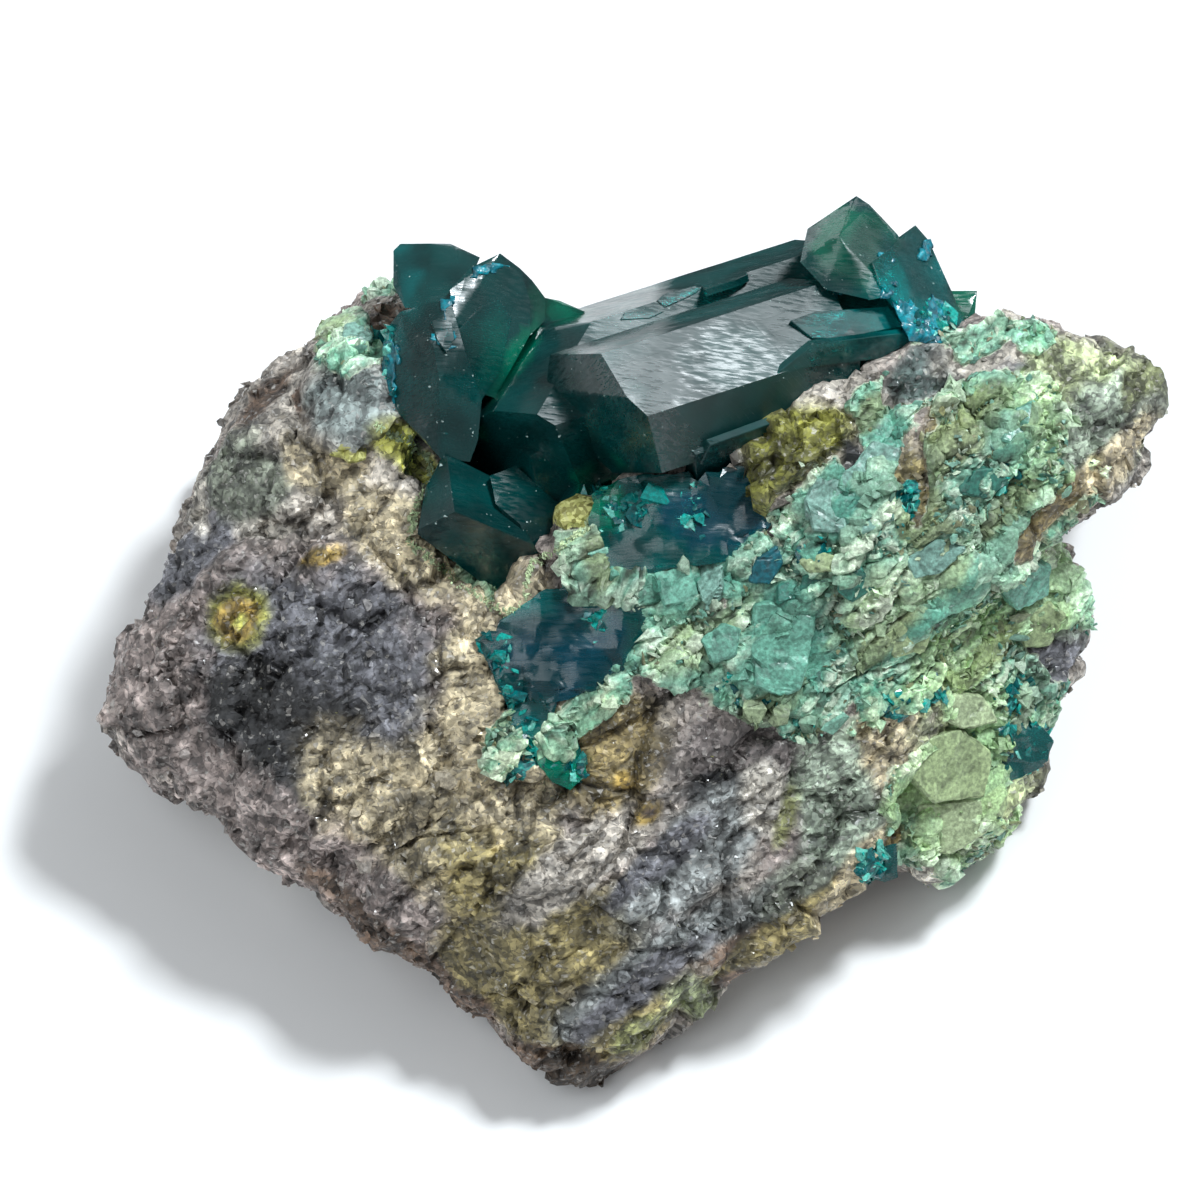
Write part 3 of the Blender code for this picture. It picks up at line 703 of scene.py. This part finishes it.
def crystalFinish(name, tree=None):
    # with a tree of the crystals, the finish has the etched fields and the stepped far face
    density, clearness, steps, rough, shine = dioptase[name]
    material, add = newMaterial(name)
    where = inMillimetres(add)
    body = add("Attribute", attribute_name="body").outputs["Color"]
    # growth lines run across the long crystals
    across = {"Vector": where, "Rotation": (0.3, -0.5, 0.9), "Scale": (0.35, 3.2, 1.2)}
    lines = noiseAt(add, add("Mapping", across).outputs[0], 2.4, 2.0, 0.6)
    patchy = noiseAt(add, where, 0.35, 1.0)
    wander = noiseAt(add, where, 0.8, 1.0)
    height = maths(add, "MULTIPLY", lines, steps)
    roughness = span(add, plus(add, lines, patchy, 0.4), 0.5, 0.85, rough, rough + 0.22)
    for middle, reach, gap, turn, slope, rougher in etchFields if tree else ():
        spot, _ = lookAlong(tree, *middle)
        turn = math.radians(turn)
        overLines = viewUp * math.cos(turn) - viewRight * math.sin(turn)
        away = add("VectorMath", {0: where, 1: tuple(spot)}, operation="DISTANCE").outputs["Value"]
        away = plus(add, away, maths(add, "SUBTRACT", patchy, 0.5), reach * 1.3)
        field = span(add, away, reach, reach * 0.5)
        step = plus(add, maths(add, "MULTIPLY", wander, 0.3), reachAlong(add, where, overLines), 1 / gap)
        edge = maths(add, "MULTIPLY", maths(add, "FRACT", step), slope * gap)
        height = plus(add, height, edge, field)
        roughness = plus(add, roughness, field, rougher)
    if tree:
        # the far face that looks away is stepped, so that it doesn't mirror the floor behind
        facing = reachAlong(add, add("NewGeometry").outputs["Normal"], towardsEye)
        beyond = span(add, reachAlong(add, where, viewRight), 0.5, 2.5)
        stepped = maths(add, "MULTIPLY", span(add, facing, 0.42, 0.30), beyond)
        step = plus(add, maths(add, "MULTIPLY", wander, 0.8), reachAlong(add, where, towardsEye), -1.6)
        height = plus(add, height, maths(add, "MULTIPLY", maths(add, "FRACT", step), 0.42), stepped)
    colour = blend(add, span(add, patchy, 0.35, 0.65, 0, 0.7), body, srgb(20, 90, 92))
    more = {"IOR": 1.52, "Specular IOR Level": shine, "Transmission Weight": clearness}
    out = surfaced(add, colour, roughness, height, more)
    depth = add("VolumeAbsorption", {"Color": (0.0, 0.72, 0.68, 1), "Density": density})
    out.id_data.links.new(depth.outputs[0], out.inputs["Volume"])
    return material


def chipFinish(name, rough, rise, clearness=0.0):
    material, add = newMaterial(name)
    where = inMillimetres(add)
    tint = add("Attribute", attribute_name="tint").outputs["Color"]
    small, shade, gloss, _ = grains(add, where, 6.0)
    grit = noiseAt(add, where, 5.0, 2.0, 0.65)
    tone = maths(add, "MULTIPLY", span(add, shade, 0, 1, 0.82, 1.18), span(add, grit, 0.3, 0.7, 0.7, 1.3))
    roughness = span(add, gloss, 0.2, 0.9, rough, rough + 0.3)
    more = {"IOR": 1.55, "Transmission Weight": clearness}
    surfaced(add, scaled(add, tint, tone), roughness, maths(add, "MULTIPLY", small, rise * 1.1), more)
    return material


# crystals
crystalLook = {
    "finest": 0.45,  # size of the worked mesh's faces, mm
    "waves": ((2.4, 0.012), (0.8, 0.003)),  # length and height of the faces' unevenness, mm
    "sharp": math.radians(14),  # edges steeper than this stay crisp
    "broken": ((1.8, 0.17), (0.7, 0.13)),  # size and steepness of the broken crystals' faces
}
# colours on the crystals, painted as on the rock
crystalColours = {
    "deep": srgb(24, 150, 148),
    "emerald": srgb(10, 226, 180),
    "green": srgb(0, 240, 190),
    "teal": srgb(6, 216, 216),
    "navy": srgb(40, 128, 156),
}
crystalPatches = [
    ("green", (510, 372, 110, 22, 62)),
    ("emerald", (855, 240, 110, 90, -30)),
    ("teal", (915, 290, 90, 110, 0)),
    ("emerald", (965, 300, 40, 40, 0)),
    ("teal", (400, 275, 50, 80, 0), (370, 370, 60, 90, 0)),
    ("emerald", (560, 305, 70, 30, -20), (600, 500, 50, 80, 0)),
    ("teal", (520, 720, 60, 90, -30)),
    ("emerald", (555, 765, 70, 60, 0)),
    ("teal", (560, 600, 120, 30, 10)),
    ("navy", (560, 660, 130, 90, 0), (740, 510, 150, 80, 0)),
]


def workedCopy(name, pieceName, broken):
    # the solid's faces split fine, so that they can be painted and are a little uneven, as grown faces are
    bm = nodeCopy(name)
    step = crystalLook["finest"]
    for axis in range(3):
        low = min(v.co[axis] for v in bm.verts)
        high = max(v.co[axis] for v in bm.verts)
        across = Vector([1.0 if i == axis else 0.0 for i in range(3)])
        for i in range(1, math.ceil((high - low) / step)):
            parts = bm.verts[:] + bm.edges[:] + bm.faces[:]
            spot = across * (low + i * step)
            bmesh.ops.bisect_plane(bm, geom=parts, dist=0.0005, plane_co=spot, plane_no=across)
    bmesh.ops.triangulate(bm, faces=bm.faces)
    bmesh.ops.remove_doubles(bm, verts=bm.verts, dist=0.004)
    bm.normal_update()
    piece = asObject(pieceName, bm)
    mesh = piece.data
    places, outwards = points(mesh), facings(mesh)
    lift = sum(rumple(places, size, 41 + i, 2) * high for i, (size, high) in enumerate(crystalLook["waves"]))
    for i, (size, slope) in enumerate(crystalLook["broken"] if broken else ()):
        lift += shards(places, size, 61 + i)[0] * slope
    movePoints(mesh, places + outwards * lift[:, None])
    return piece


def crystalPaint(piece, tree):
    places = points(piece.data)
    wobble = rumple(places, 1.2, 45) * 0.5
    body = np.tile(np.array(crystalColours["deep"]), (len(places), 1))
    for colour, *patches in crystalPatches:
        for patch in patches:
            mixIn(body, crystalColours[colour], patchWeight(places, tree, patch, wobble))
    paint(piece.data, "body", body)


def makeCrystal(node, pieceName, material, tree, broken=False):
    piece = workedCopy(node, pieceName, broken)
    crystalPaint(piece, tree)
    mesh = piece.data
    mesh.polygons.foreach_set("use_smooth", [True] * len(mesh.polygons))
    mesh.set_sharp_from_angle(angle=crystalLook["sharp"])
    return finish(piece, material, "crystal", node)


# thin plates grown on the faces: corners in pixels, thickness in mm, and how their tops lean to the right and
# up in degrees
growthPlates = [
    ([(620, 320), (625, 312), (665, 311), (650, 318)], 0.05, 0, 1),
    ([(657, 300), (665, 293), (695, 285), (702, 288), (690, 296), (665, 307)], 0.06, 1, -1),
    ([(700, 283), (712, 276), (745, 268), (748, 273), (735, 279), (705, 289)], 0.05, 1, -1),
    ([(432, 322), (440, 318), (452, 322), (455, 340), (447, 353), (437, 340)], 0.16, -5, 0),
    ([(446, 366), (459, 330), (483, 306), (500, 300), (512, 318), (500, 372), (480, 404), (466, 396)], 0.1, 3,
     -2),
    ([(700, 465), (710, 446), (778, 421), (795, 431), (752, 452), (716, 468)], 0.1, 2, -6),
    ([(790, 321), (815, 312), (888, 306), (903, 326), (840, 339), (812, 339)], 0.06, 5, -5),
    ([(812, 345), (903, 333), (913, 341), (880, 359), (802, 369), (765, 384)], 0.06, -2, 3),
    ([(872, 262), (893, 246), (905, 270), (915, 300), (898, 305), (880, 285)], 0.1, 8, 0),
]


def bedUnder(tree, corners):
    # the plane that fits best through a rough surface within an outline
    hits = np.array([lookAlong(tree, *corner)[0] for corner in corners])
    middle = hits.mean(axis=0)
    normal = Vector(np.linalg.svd(hits - middle)[2][2])
    if normal.dot(towardsEye) < 0:
        normal = -normal
    return Vector(middle), (normal + towardsEye * 0.4).normalized()


def platesFrom(rows, tree, foot, bevel, bedded=False):
    # flat pieces cut to an outline seen from the front, lying on the surface under them
    bm = bmesh.new()
    for corners, thickness, leanRight, leanUp in rows:
        centre = (sum(values) / len(corners) for values in zip(*corners))
        middle, normal = bedUnder(tree, corners) if bedded else lookAlong(tree, *centre)
        if normal.dot(towardsEye) < 0:
            normal = -normal
        lean = viewRight * math.tan(math.radians(leanRight)) + viewUp * math.tan(math.radians(leanUp))
        top = (normal + lean).normalized()
        verts = []
        for corner in corners:
            sight = atPixel(*corner)
            # the sight line meets the plate's own plane
            along = (middle + normal * thickness - sight).dot(top) / towardsEye.dot(top)
            verts.append(bm.verts.new(sight + towardsEye * along))
        face = bm.faces.new(verts)
        extruded = bmesh.ops.extrude_face_region(bm, geom=[face])
        under = [v for v in extruded["geom"] if isinstance(v, bmesh.types.BMVert)]
        bmesh.ops.translate(bm, verts=under, vec=-normal * (thickness + foot))
    bmesh.ops.recalc_face_normals(bm, faces=bm.faces)
    bmesh.ops.bevel(
        bm,
        geom=bm.edges[:],
        offset=bevel,
        offset_type="OFFSET",
        segments=1,
        profile=0.5,
        affect="EDGES",
        clamp_overlap=True,
        material=-1,
    )
    return bm


def makePlates(tree, material):
    piece = asObject("growthPlates", platesFrom(growthPlates, tree, 0.35, 0.035))
    crystalPaint(piece, tree)
    return finish(piece, material, "crystal")


# smooth broken slabs in the mint crust: colour, outline in pixels, how far they stand over the crust in mm,
# and how their tops lean to the right and up in degrees
crustSlabs = [
    ("mint", [(607, 543), (617, 528), (635, 525), (650, 520), (657, 535), (668, 545), (655, 553), (645, 560),
     (648, 568), (625, 572), (612, 575)], 0.19, 4, 0),
    ("sky", [(690, 562), (702, 543), (726, 533), (731, 550), (721, 567), (719, 584), (701, 601), (697, 586)],
     0.24, -4, 4),
    ("mint", [(653, 572), (690, 565), (699, 601), (665, 606)], 0.14, 0, 6),
    ("sky", [(805, 500), (815, 478), (850, 470), (872, 440), (900, 450), (885, 490), (895, 520), (860, 535),
     (812, 530)], 0.26, 3, -3),
    ("mint", [(755, 605), (800, 600), (815, 620), (812, 650), (800, 690), (780, 698), (755, 685), (750, 650)],
     0.22, 0, 3),
    ("sea", [(798, 592), (803, 576), (820, 571), (831, 584), (816, 599)], 0.16, 4, 2),
    ("sea", [(838, 592), (840, 574), (861, 569), (877, 589), (851, 603)], 0.16, -3, 2),
    ("sea", [(777, 603), (778, 586), (791, 579), (795, 599)], 0.14, 0, 4),
    ("lime", [(797, 560), (822, 552), (846, 560), (834, 571), (806, 572)], 0.16, 0, -3),
    ("teal", [(748, 582), (756, 560), (776, 547), (784, 560), (770, 586)], 0.26, 6, -4),
    ("sea", [(958, 492), (975, 470), (1003, 466), (1009, 484), (985, 499)], 0.19, 0, 0),
    ("lime", [(905, 770), (918, 742), (962, 730), (994, 752), (987, 798), (936, 804)], 0.18, 1, 0),
    ("limePale", [(902, 806), (936, 804), (984, 800), (990, 834), (950, 856), (906, 846)], 0.16, -1, -1),
    ("limePale", [(930, 712), (950, 694), (985, 696), (1000, 722), (965, 730)], 0.19, 0, 6),
    ("lime", [(996, 780), (1012, 758), (1020, 786), (1004, 818), (990, 808)], 0.19, 5, 0),
    ("mint", [(1002, 590), (1022, 566), (1052, 566), (1050, 596), (1020, 612)], 0.19, 4, 2),
    ("lime", [(1018, 620), (1052, 604), (1068, 616), (1052, 646), (1026, 648)], 0.19, 4, -4),
    ("sky", [(905, 560), (938, 540), (965, 548), (942, 572), (915, 580)], 0.16, 0, 3),
    ("lime", [(880, 640), (905, 622), (935, 626), (925, 652), (895, 660)], 0.16, 0, -2),
    ("mint", [(1000, 440), (1012, 410), (1034, 400), (1042, 424), (1020, 446)], 0.14, 2, 0),
    ("mint", [(700, 640), (722, 622), (742, 628), (736, 656), (712, 662)], 0.14, 0, 4),
    ("sky", [(338, 340), (345, 322), (366, 318), (372, 336), (355, 348)], 0.09, -4, 4),
]
slabLook = {
    "foot": 0.7,  # how deep a slab reaches into the crust, mm
    "bevel": 0.09,  # mm
    "shards": (1.3, 0.10),  # size and steepness of its broken faces
    "crack": 0.08,  # depth, mm
    "gain": 0.68,  # how light it is
}


def makeSlabs(tree):
    whole = bmesh.new()
    size, slope = slabLook["shards"]
    for colour, *row in crustSlabs:
        bm = platesFrom([row], tree, slabLook["foot"], slabLook["bevel"], True)
        bmesh.ops.triangulate(bm, faces=bm.faces)
        bmesh.ops.subdivide_edges(bm, edges=bm.edges, cuts=5, use_grid_fill=True)
        bmesh.ops.triangulate(bm, faces=bm.faces)
        piece = asObject("slab", bm)
        mesh = piece.data
        places, outwards = points(mesh), facings(mesh)
        broken, shade, crack = shards(places, size, 81, 1.4)
        fine = rumple(places, 0.5, 82)
        lift = broken * slope + fine * 0.035 - slabLook["crack"] * smoothStep(0.06, 0.0, crack)
        movePoints(mesh, places + outwards * lift[:, None])
        # painted shade: the slab's colour is darker in its cracks
        tone = (0.80 + 0.40 * shade + 0.18 * fine) * (1 - 0.5 * smoothStep(0.05, 0.0, crack))
        paint(mesh, "tint", np.outer(tone * slabLook["gain"], mintColours[colour]))
        whole.from_mesh(mesh)
        bpy.data.objects.remove(piece)
    return finish(asObject("crustSlabs", whole), chipFinish("mint slabs", 0.34, 0.05), "rock")


filmLook = {
    "lift": 0.05,  # mm
    "thick": 0.12,  # mm
    "tints": (srgb(0, 78, 92), srgb(6, 156, 172)),
}
cyanFilm = [
    (925, 335, 50, 34, 10), (905, 320, 30, 50, -20), (935, 315, 24, 40, 0), (835, 294, 22, 12, 0),
    (885, 262, 16, 30, -20), (892, 290, 24, 26, 0), (925, 250, 14, 34, -30), (488, 270, 40, 12, 15),
    (448, 302, 30, 12, 30), (443, 336, 24, 36, 0), (378, 350, 40, 20, -40), (385, 385, 14, 60, 5),
    (900, 345, 40, 16, 30),
]


def makeFilm(sources, tree, name, spots, colours, material):
    # a thin film on the crystals, cut from their own surface
    bm = bmesh.new()
    for source in sources:
        bm.from_mesh(source.data)
    bmesh.ops.scale(bm, vec=(1000, 1000, 1000), verts=bm.verts)

    def cut(corner, least):
        # faces go whose best or worst covered corner has less than the least share
        bm.verts.index_update()
        places = np.array([v.co[:] for v in bm.verts])
        weight = spread(places, tree, spots, rumple(places, 0.8, 51) * 0.55)
        far = [f for f in bm.faces if corner(weight[v.index] for v in f.verts) < least]
        bmesh.ops.delete(bm, geom=far, context="FACES")

    cut(max, 0.3)
    bmesh.ops.subdivide_edges(bm, edges=bm.edges, cuts=1, use_grid_fill=True)
    bmesh.ops.triangulate(bm, faces=bm.faces)
    cut(min, 0.4)
    loose = [v for v in bm.verts if not v.link_faces]
    bmesh.ops.delete(bm, geom=loose, context="VERTS")
    piece = asObject(name, bm)
    mesh = piece.data
    places, outwards = points(mesh), facings(mesh)
    rough, shade, _ = shards(places, 0.5, 52)
    movePoints(mesh, places + outwards * (filmLook["lift"] + np.clip(rough * 0.25, -0.04, 0.1))[:, None])
    low, high = (np.array(c) for c in colours)
    paint(mesh, "tint", low + (high - low) * (shade * smoothStep(-0.5, 0.5, rumple(places, 0.6, 53)))[:, None])
    thicken(piece, filmLook["thick"])
    return finish(piece, material, "crystal")


# loose grains and flakes
def chipShape(rng, flat):
    # a few points pulled tight into a chip
    bm = bmesh.new()
    for i in range(9):
        turn = i * 2.399 + rng.uniform(-0.4, 0.4)
        level = rng.uniform(-1, 1) * flat
        reach = rng.uniform(0.65, 1.0) * math.sqrt(max(0.1, 1 - (level / max(flat, 0.01)) ** 2 * 0.7))
        bm.verts.new((math.cos(turn) * reach, math.sin(turn) * reach * 0.8, level))
    hull = bmesh.ops.convex_hull(bm, input=bm.verts)
    loose = [v for v in hull["geom_interior"] if isinstance(v, bmesh.types.BMVert)]
    bmesh.ops.delete(bm, geom=loose, context="VERTS")
    bmesh.ops.recalc_face_normals(bm, faces=bm.faces)
    bmesh.ops.triangulate(bm, faces=bm.faces)
    bm.verts.index_update()
    mesh = bpy.data.meshes.new("chip")
    bm.to_mesh(mesh)
    bm.free()
    mesh.color_attributes.new("tint", "FLOAT_COLOR", "POINT")
    return mesh, points(mesh)


def scatter(name, chips, material, slot):
    # a chip is its place, facing, size and turn, its colour and its shape; batches of them join quicker
    whole = bmesh.new()
    for start in range(0, len(chips), 200):
        batch = bmesh.new()
        for (place, facing, size, turn), colour, (shape, corners) in chips[start : start + 200]:
            turned = np.array(facing.to_matrix() @ Matrix.Rotation(turn, 3, "Z"))
            movePoints(shape, (corners * np.array(size)) @ turned.T + np.array(place))
            shape.color_attributes["tint"].data.foreach_set("color", np.tile(np.append(colour, 1), len(corners)))
            batch.from_mesh(shape)
        joined = bpy.data.meshes.new(name)
        batch.to_mesh(joined)
        batch.free()
        whole.from_mesh(joined)
        bpy.data.meshes.remove(joined)
    return finish(asObject(name, whole), material, slot)


def facingTurn(normal, lean, rng):
    # turns a chip's own up to the surface, leaned by some degrees any way
    tilt = Vector((rng.normal(), rng.normal(), rng.normal())) * math.tan(math.radians(lean))
    return (Vector(normal) + tilt).normalized().to_track_quat("Z", "Y")


def pick(rng, count, weight):
    return rng.choice(len(weight), count, replace=False, p=weight / weight.sum())


def rockGrains(rock):
    # angular quartz grains over the bare rock, each in the colour of the rock under it
    mesh = rock.data
    places, outs = points(mesh) * 1000, facings(mesh)
    ground, crust = colourLayer(mesh, "ground"), colourLayer(mesh, "crust")
    rng = np.random.default_rng(11)
    bare = (1 - crust[:, 0]) * (1 - crust[:, 1]) * (places[:, 2] > 0.6)
    clump = smoothStep(-0.2, 0.5, rumple(places, 2.6, 8))
    chosen = pick(rng, grainLook["count"], bare * (0.15 + clump))
    kinds = [chipShape(rng, 0.6) for _ in range(10)]
    chips = []
    for i in chosen:
        size = grainLook["size"] * math.exp(rng.normal() * 0.4)
        facing = facingTurn(outs[i], 30, rng)
        place = places[i] + outs[i] * size * rng.uniform(-0.35, 0.1)
        seat = (place, facing, (size, size, size * 0.8), rng.uniform(0, 6.28))
        pale = 0.35 * rng.random() ** 3
        colour = ground[i, :3] * rng.uniform(0.7, 1.35) * (1 - pale) + pale * np.array(grainLook["pale"])
        chips.append((seat, colour, kinds[rng.integers(len(kinds))]))
    return scatter("quartzGrains", chips, chipFinish("quartz grains", 0.2, 0.3), "rock")


grainLook = {
    "count": 5200,
    "size": 0.24,  # half of a grain's width, mm
    "pale": srgb(190, 184, 178),
}
flakeLook = {
    "count": 4500,
    "size": 0.17,  # half of a flake's width, mm
    "thin": 0.3,  # of its width
    "lean": 30,  # degrees
    "clear": (0.9, 0.3),  # share of the flakes left out at the slabs, and how near they count, mm
    "rim": (2.2, 2, 0.6),  # along the rim line: flakes to a pixel, how far they stray in pixels, and their size
}


flakeTints = [mintColours["pale"], mintColours["mint"], mintColours["sea"], mintColours["moss"]]


# where a pale line of crust meets the crystals, in pixels
rimLine = [
    (376, 424), (392, 436), (412, 440), (432, 468), (417, 504), (408, 543), (426, 556), (453, 579), (471, 592),
    (507, 615), (522, 606), (531, 563), (558, 550), (586, 528), (600, 505),
]


def crustFlakes(rock, slabs, surface):
    # thin flakes of the mint crust, lying like shingles up to the right
    mesh = rock.data
    places, outs = points(mesh) * 1000, facings(mesh)
    ground, crust = colourLayer(mesh, "ground"), colourLayer(mesh, "crust")
    rng = np.random.default_rng(12)
    slabTree = treeOf([slabs.data])
    leftOut, near = flakeLook["clear"]
    perPixel, stray, share = flakeLook["rim"]
    clump = smoothStep(-0.35, 0.35, rumple(places, 1.8, 9))
    weight = smoothStep(0.3, 0.7, crust[:, 0]) * (places[:, 2] > 0.8) * (0.1 + clump) * (1 - crust[:, 2])
    chosen = pick(rng, flakeLook["count"], weight)
    kinds = [chipShape(rng, flakeLook["thin"]) for _ in range(10)]
    chips = []
    for i in chosen:
        size = flakeLook["size"] * math.exp(rng.normal() * 0.45)
        facing = facingTurn(Vector(outs[i]) - crustLay * rng.uniform(0, 0.6), flakeLook["lean"], rng)
        place = places[i] + outs[i] * (crustLook["rise"] * 0.8 + size * rng.uniform(-0.3, 0.3))
        if rng.random() < leftOut and slabTree.find_nearest(Vector(place), near)[0] is not None:
            continue
        seat = (place, facing, (size * 1.3, size, size), rng.normal() * 0.7)
        own = np.array(flakeTints[rng.integers(len(flakeTints))])
        colour = (own * 0.75 + ground[i, :3] * 0.25) * rng.uniform(0.7, 1.15)
        chips.append((seat, colour, kinds[rng.integers(len(kinds))]))
    for (ax, ay), (bx, by) in zip(rimLine, rimLine[1:]):
        for _ in range(int(math.hypot(bx - ax, by - ay) * perPixel)):
            way = rng.random()
            px, py = ax + (bx - ax) * way + rng.normal() * stray, ay + (by - ay) * way + rng.normal() * stray
            place, normal = lookAlong(surface, px, py)
            size = flakeLook["size"] * share * math.exp(rng.normal() * 0.4)
            seat = (np.array(place), facingTurn(normal, 40, rng), (size * 1.3, size, size), rng.uniform(0, 6.28))
            colour = np.array(mintColours["limePale"]) * rng.uniform(0.7, 1.15)
            chips.append((seat, colour, kinds[rng.integers(len(kinds))]))
    return scatter("crustFlakes", chips, chipFinish("mint crust flakes", 0.45, 0.25), "rock")


tealLook = {
    "onRock": 520,
    "onCrystals": 34,  # for each spot
    "size": 0.26,  # half of a chip's width, mm
    "dust": 420,
    "dustSize": 0.035,
    "dustTint": srgb(176, 200, 196),
}
tealTints = [srgb(0, 96, 98), srgb(4, 134, 128), srgb(24, 170, 158), srgb(110, 206, 190)]
# where chips lie on the crystals: middle and reach in pixels
chipSpots = [
    (600, 498, 14), (612, 512, 10), (632, 503, 18), (648, 512, 14), (690, 520, 12), (698, 496, 10),
    (486, 642, 12), (500, 655, 10), (505, 700, 14), (520, 735, 16), (530, 750, 14), (500, 725, 12),
    (570, 770, 18), (590, 775, 10), (600, 620, 10), (925, 330, 14), (940, 318, 12), (1010, 700, 14),
    (1030, 740, 16), (875, 865, 10), (380, 372, 10), (384, 340, 12),
]


def tealChips(rock, tree):
    mesh = rock.data
    places, outs = points(mesh) * 1000, facings(mesh)
    teal = colourLayer(mesh, "crust")[:, 2] * (places[:, 2] > 0.8)
    rng = np.random.default_rng(13)
    kinds = [chipShape(rng, 0.55) for _ in range(10)]
    spots = [(places[i] + outs[i] * 0.2, outs[i]) for i in pick(rng, tealLook["onRock"], teal ** 2)]
    for px, py, reach in chipSpots:
        for _ in range(tealLook["onCrystals"]):
            where, facing = lookAlong(tree, px + rng.normal() * reach * 0.6, py + rng.normal() * reach * 0.6)
            spots.append((np.array(where), np.array(facing)))
    chips = []
    for place, out in spots:
        size = tealLook["size"] * math.exp(rng.normal() * 0.45)
        facing = facingTurn(out, 30, rng)
        seat = (place - out * size * 0.15, facing, (size * 1.2, size * 0.9, size * 0.8), rng.uniform(0, 6.28))
        colour = np.array(tealTints[min(3, int(rng.random() ** 1.4 * 4))]) * rng.uniform(0.7, 1.2)
        chips.append((seat, colour, kinds[rng.integers(len(kinds))]))
    return scatter("tealChips", chips, chipFinish("teal chips", 0.08, 0.06, 0.25), "crystal")


def crystalDust(source):
    # pale specks lying on the crystals
    mesh = source.data
    places, outs = points(mesh) * 1000, facings(mesh)
    rng = np.random.default_rng(14)
    kinds = [chipShape(rng, 0.5) for _ in range(6)]
    weight = smoothStep(0.2, 0.8, outs @ np.array(towardsEye)) * smoothStep(-0.2, 0.6, rumple(places, 1.5, 71))
    chips = []
    for i in pick(rng, tealLook["dust"], weight):
        size = tealLook["dustSize"] * math.exp(rng.normal() * 0.5)
        seat = (places[i], facingTurn(outs[i], 25, rng), (size * 1.3, size, size), rng.uniform(0, 6.28))
        colour = np.array(tealLook["dustTint"]) * rng.uniform(0.5, 1.0)
        chips.append((seat, colour, kinds[rng.integers(len(kinds))]))
    return scatter("crystalDust", chips, chipFinish("pale dust", 0.5, 0.02), "rock")


# the specimen
crystals = treeOf([node.data for name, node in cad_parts.items() if name != "matrix"])
rock, rockTree = makeRock(crystals)
crust = makeCrust(rock, rockTree)
finish(rock, rockFinish(), "rock", "matrix")
surface = treeOf([rock.data, crust.data])
rockGrains(rock)
crustFlakes(rock, makeSlabs(surface), surface)
print("rock and crust made")

darkCrystal = crystalFinish("dark dioptase", crystals)
rimCrystal = crystalFinish("broken dioptase")
pieces = [makeCrystal("crystal_cluster", "crystalCluster", darkCrystal, crystals)]
for part in ("ledge", "rim", "slope", "edge", "foot"):
    pieces.append(makeCrystal(part + "_crystal", part + "Crystal", rimCrystal, crystals, True))
makePlates(crystals, darkCrystal)
makeFilm(pieces[:3], crystals, "tealFilm", cyanFilm, filmLook["tints"], chipFinish("teal film", 0.18, 0.2))
tealChips(rock, crystals)
crystalDust(pieces[0])
print("crystals made")

# floor, light and camera
lightLook = {
    "world": 0.38,
    # azimuth and height of the dark place, how far from its middle it starts and is full, and what is left there
    "shade": (4, 60, 34, 12, 0.06),
    # azimuth and height in degrees, width in metres, watts
    "sheen": (133, 45, 0.42, 0.8),  # from behind on the right, which the long crystal's broad face mirrors
    "glint": (130, 58, 0.12, 5.0),  # beside it, which only the etched lines catch
    "side": (-60, 58, 0.50, 1.9),
}


def bearing(azimuth, height):
    azimuth, height = math.radians(azimuth), math.radians(height)
    level = math.cos(height)
    return Vector((math.sin(azimuth) * level, -math.cos(azimuth) * level, math.sin(height)))


def softLight(name, azimuth, height, width, power):
    lamp = bpy.data.lights.new(name, "AREA")
    lamp.color = (0.90, 0.96, 1.0)
    lamp.shape = "SQUARE"
    lamp.size = width
    lamp.energy = power
    holder = bpy.data.objects.new(name, lamp)
    bpy.context.scene.collection.objects.link(holder)
    away = bearing(azimuth, height)
    holder.location = Vector((0, 0, 0.012)) + away * 0.7
    holder.rotation_euler = away.to_track_quat("Z", "Y").to_euler()


def makeStudio():
    bm = bmesh.new()
    bmesh.ops.create_grid(bm, x_segments=1, y_segments=1, size=1.5)
    floor = asObject("floor", bm)
    material, add = newMaterial("pale floor")
    shader = add("BsdfPrincipled", {"Base Color": (0.86, 0.86, 0.86, 1), "Roughness": 0.8})
    add("OutputMaterial", {"Surface": shader.outputs[0]})
    floor.data.materials.append(material)
    world = bpy.data.worlds.new("studio")
    bpy.context.scene.world = world
    world.use_nodes = True
    background = world.node_tree.nodes["Background"]
    background.inputs[0].default_value = (0.96, 0.98, 1.0, 1)
    add = nodeAdder(world.node_tree)
    azimuth, height, start, full, left = lightLook["shade"]
    near = reachAlong(add, add("TexCoord").outputs["Generated"], bearing(azimuth, height))
    edges = (math.cos(math.radians(start)), math.cos(math.radians(full)))
    dim = span(add, near, *edges, lightLook["world"], lightLook["world"] * left)
    world.node_tree.links.new(dim, background.inputs[1])
    for name in ("sheen", "glint", "side"):
        softLight(name, *lightLook[name])


makeStudio()

eye = bpy.data.cameras.new("camera")
eye.sensor_width = 36
eye.lens = eye.sensor_width * view["distance"] / view["width"]
eye.clip_start = 0.1
eye.clip_end = 10
camera = bpy.data.objects.new("camera", eye)
bpy.context.scene.collection.objects.link(camera)
camera.location = atPixel(600, 600, view["distance"]) / 1000
camera.rotation_euler = (math.radians(90) - view["lookDown"], 0, 0)
bpy.context.scene.camera = camera
bpy.context.scene.view_settings.view_transform = "Standard"
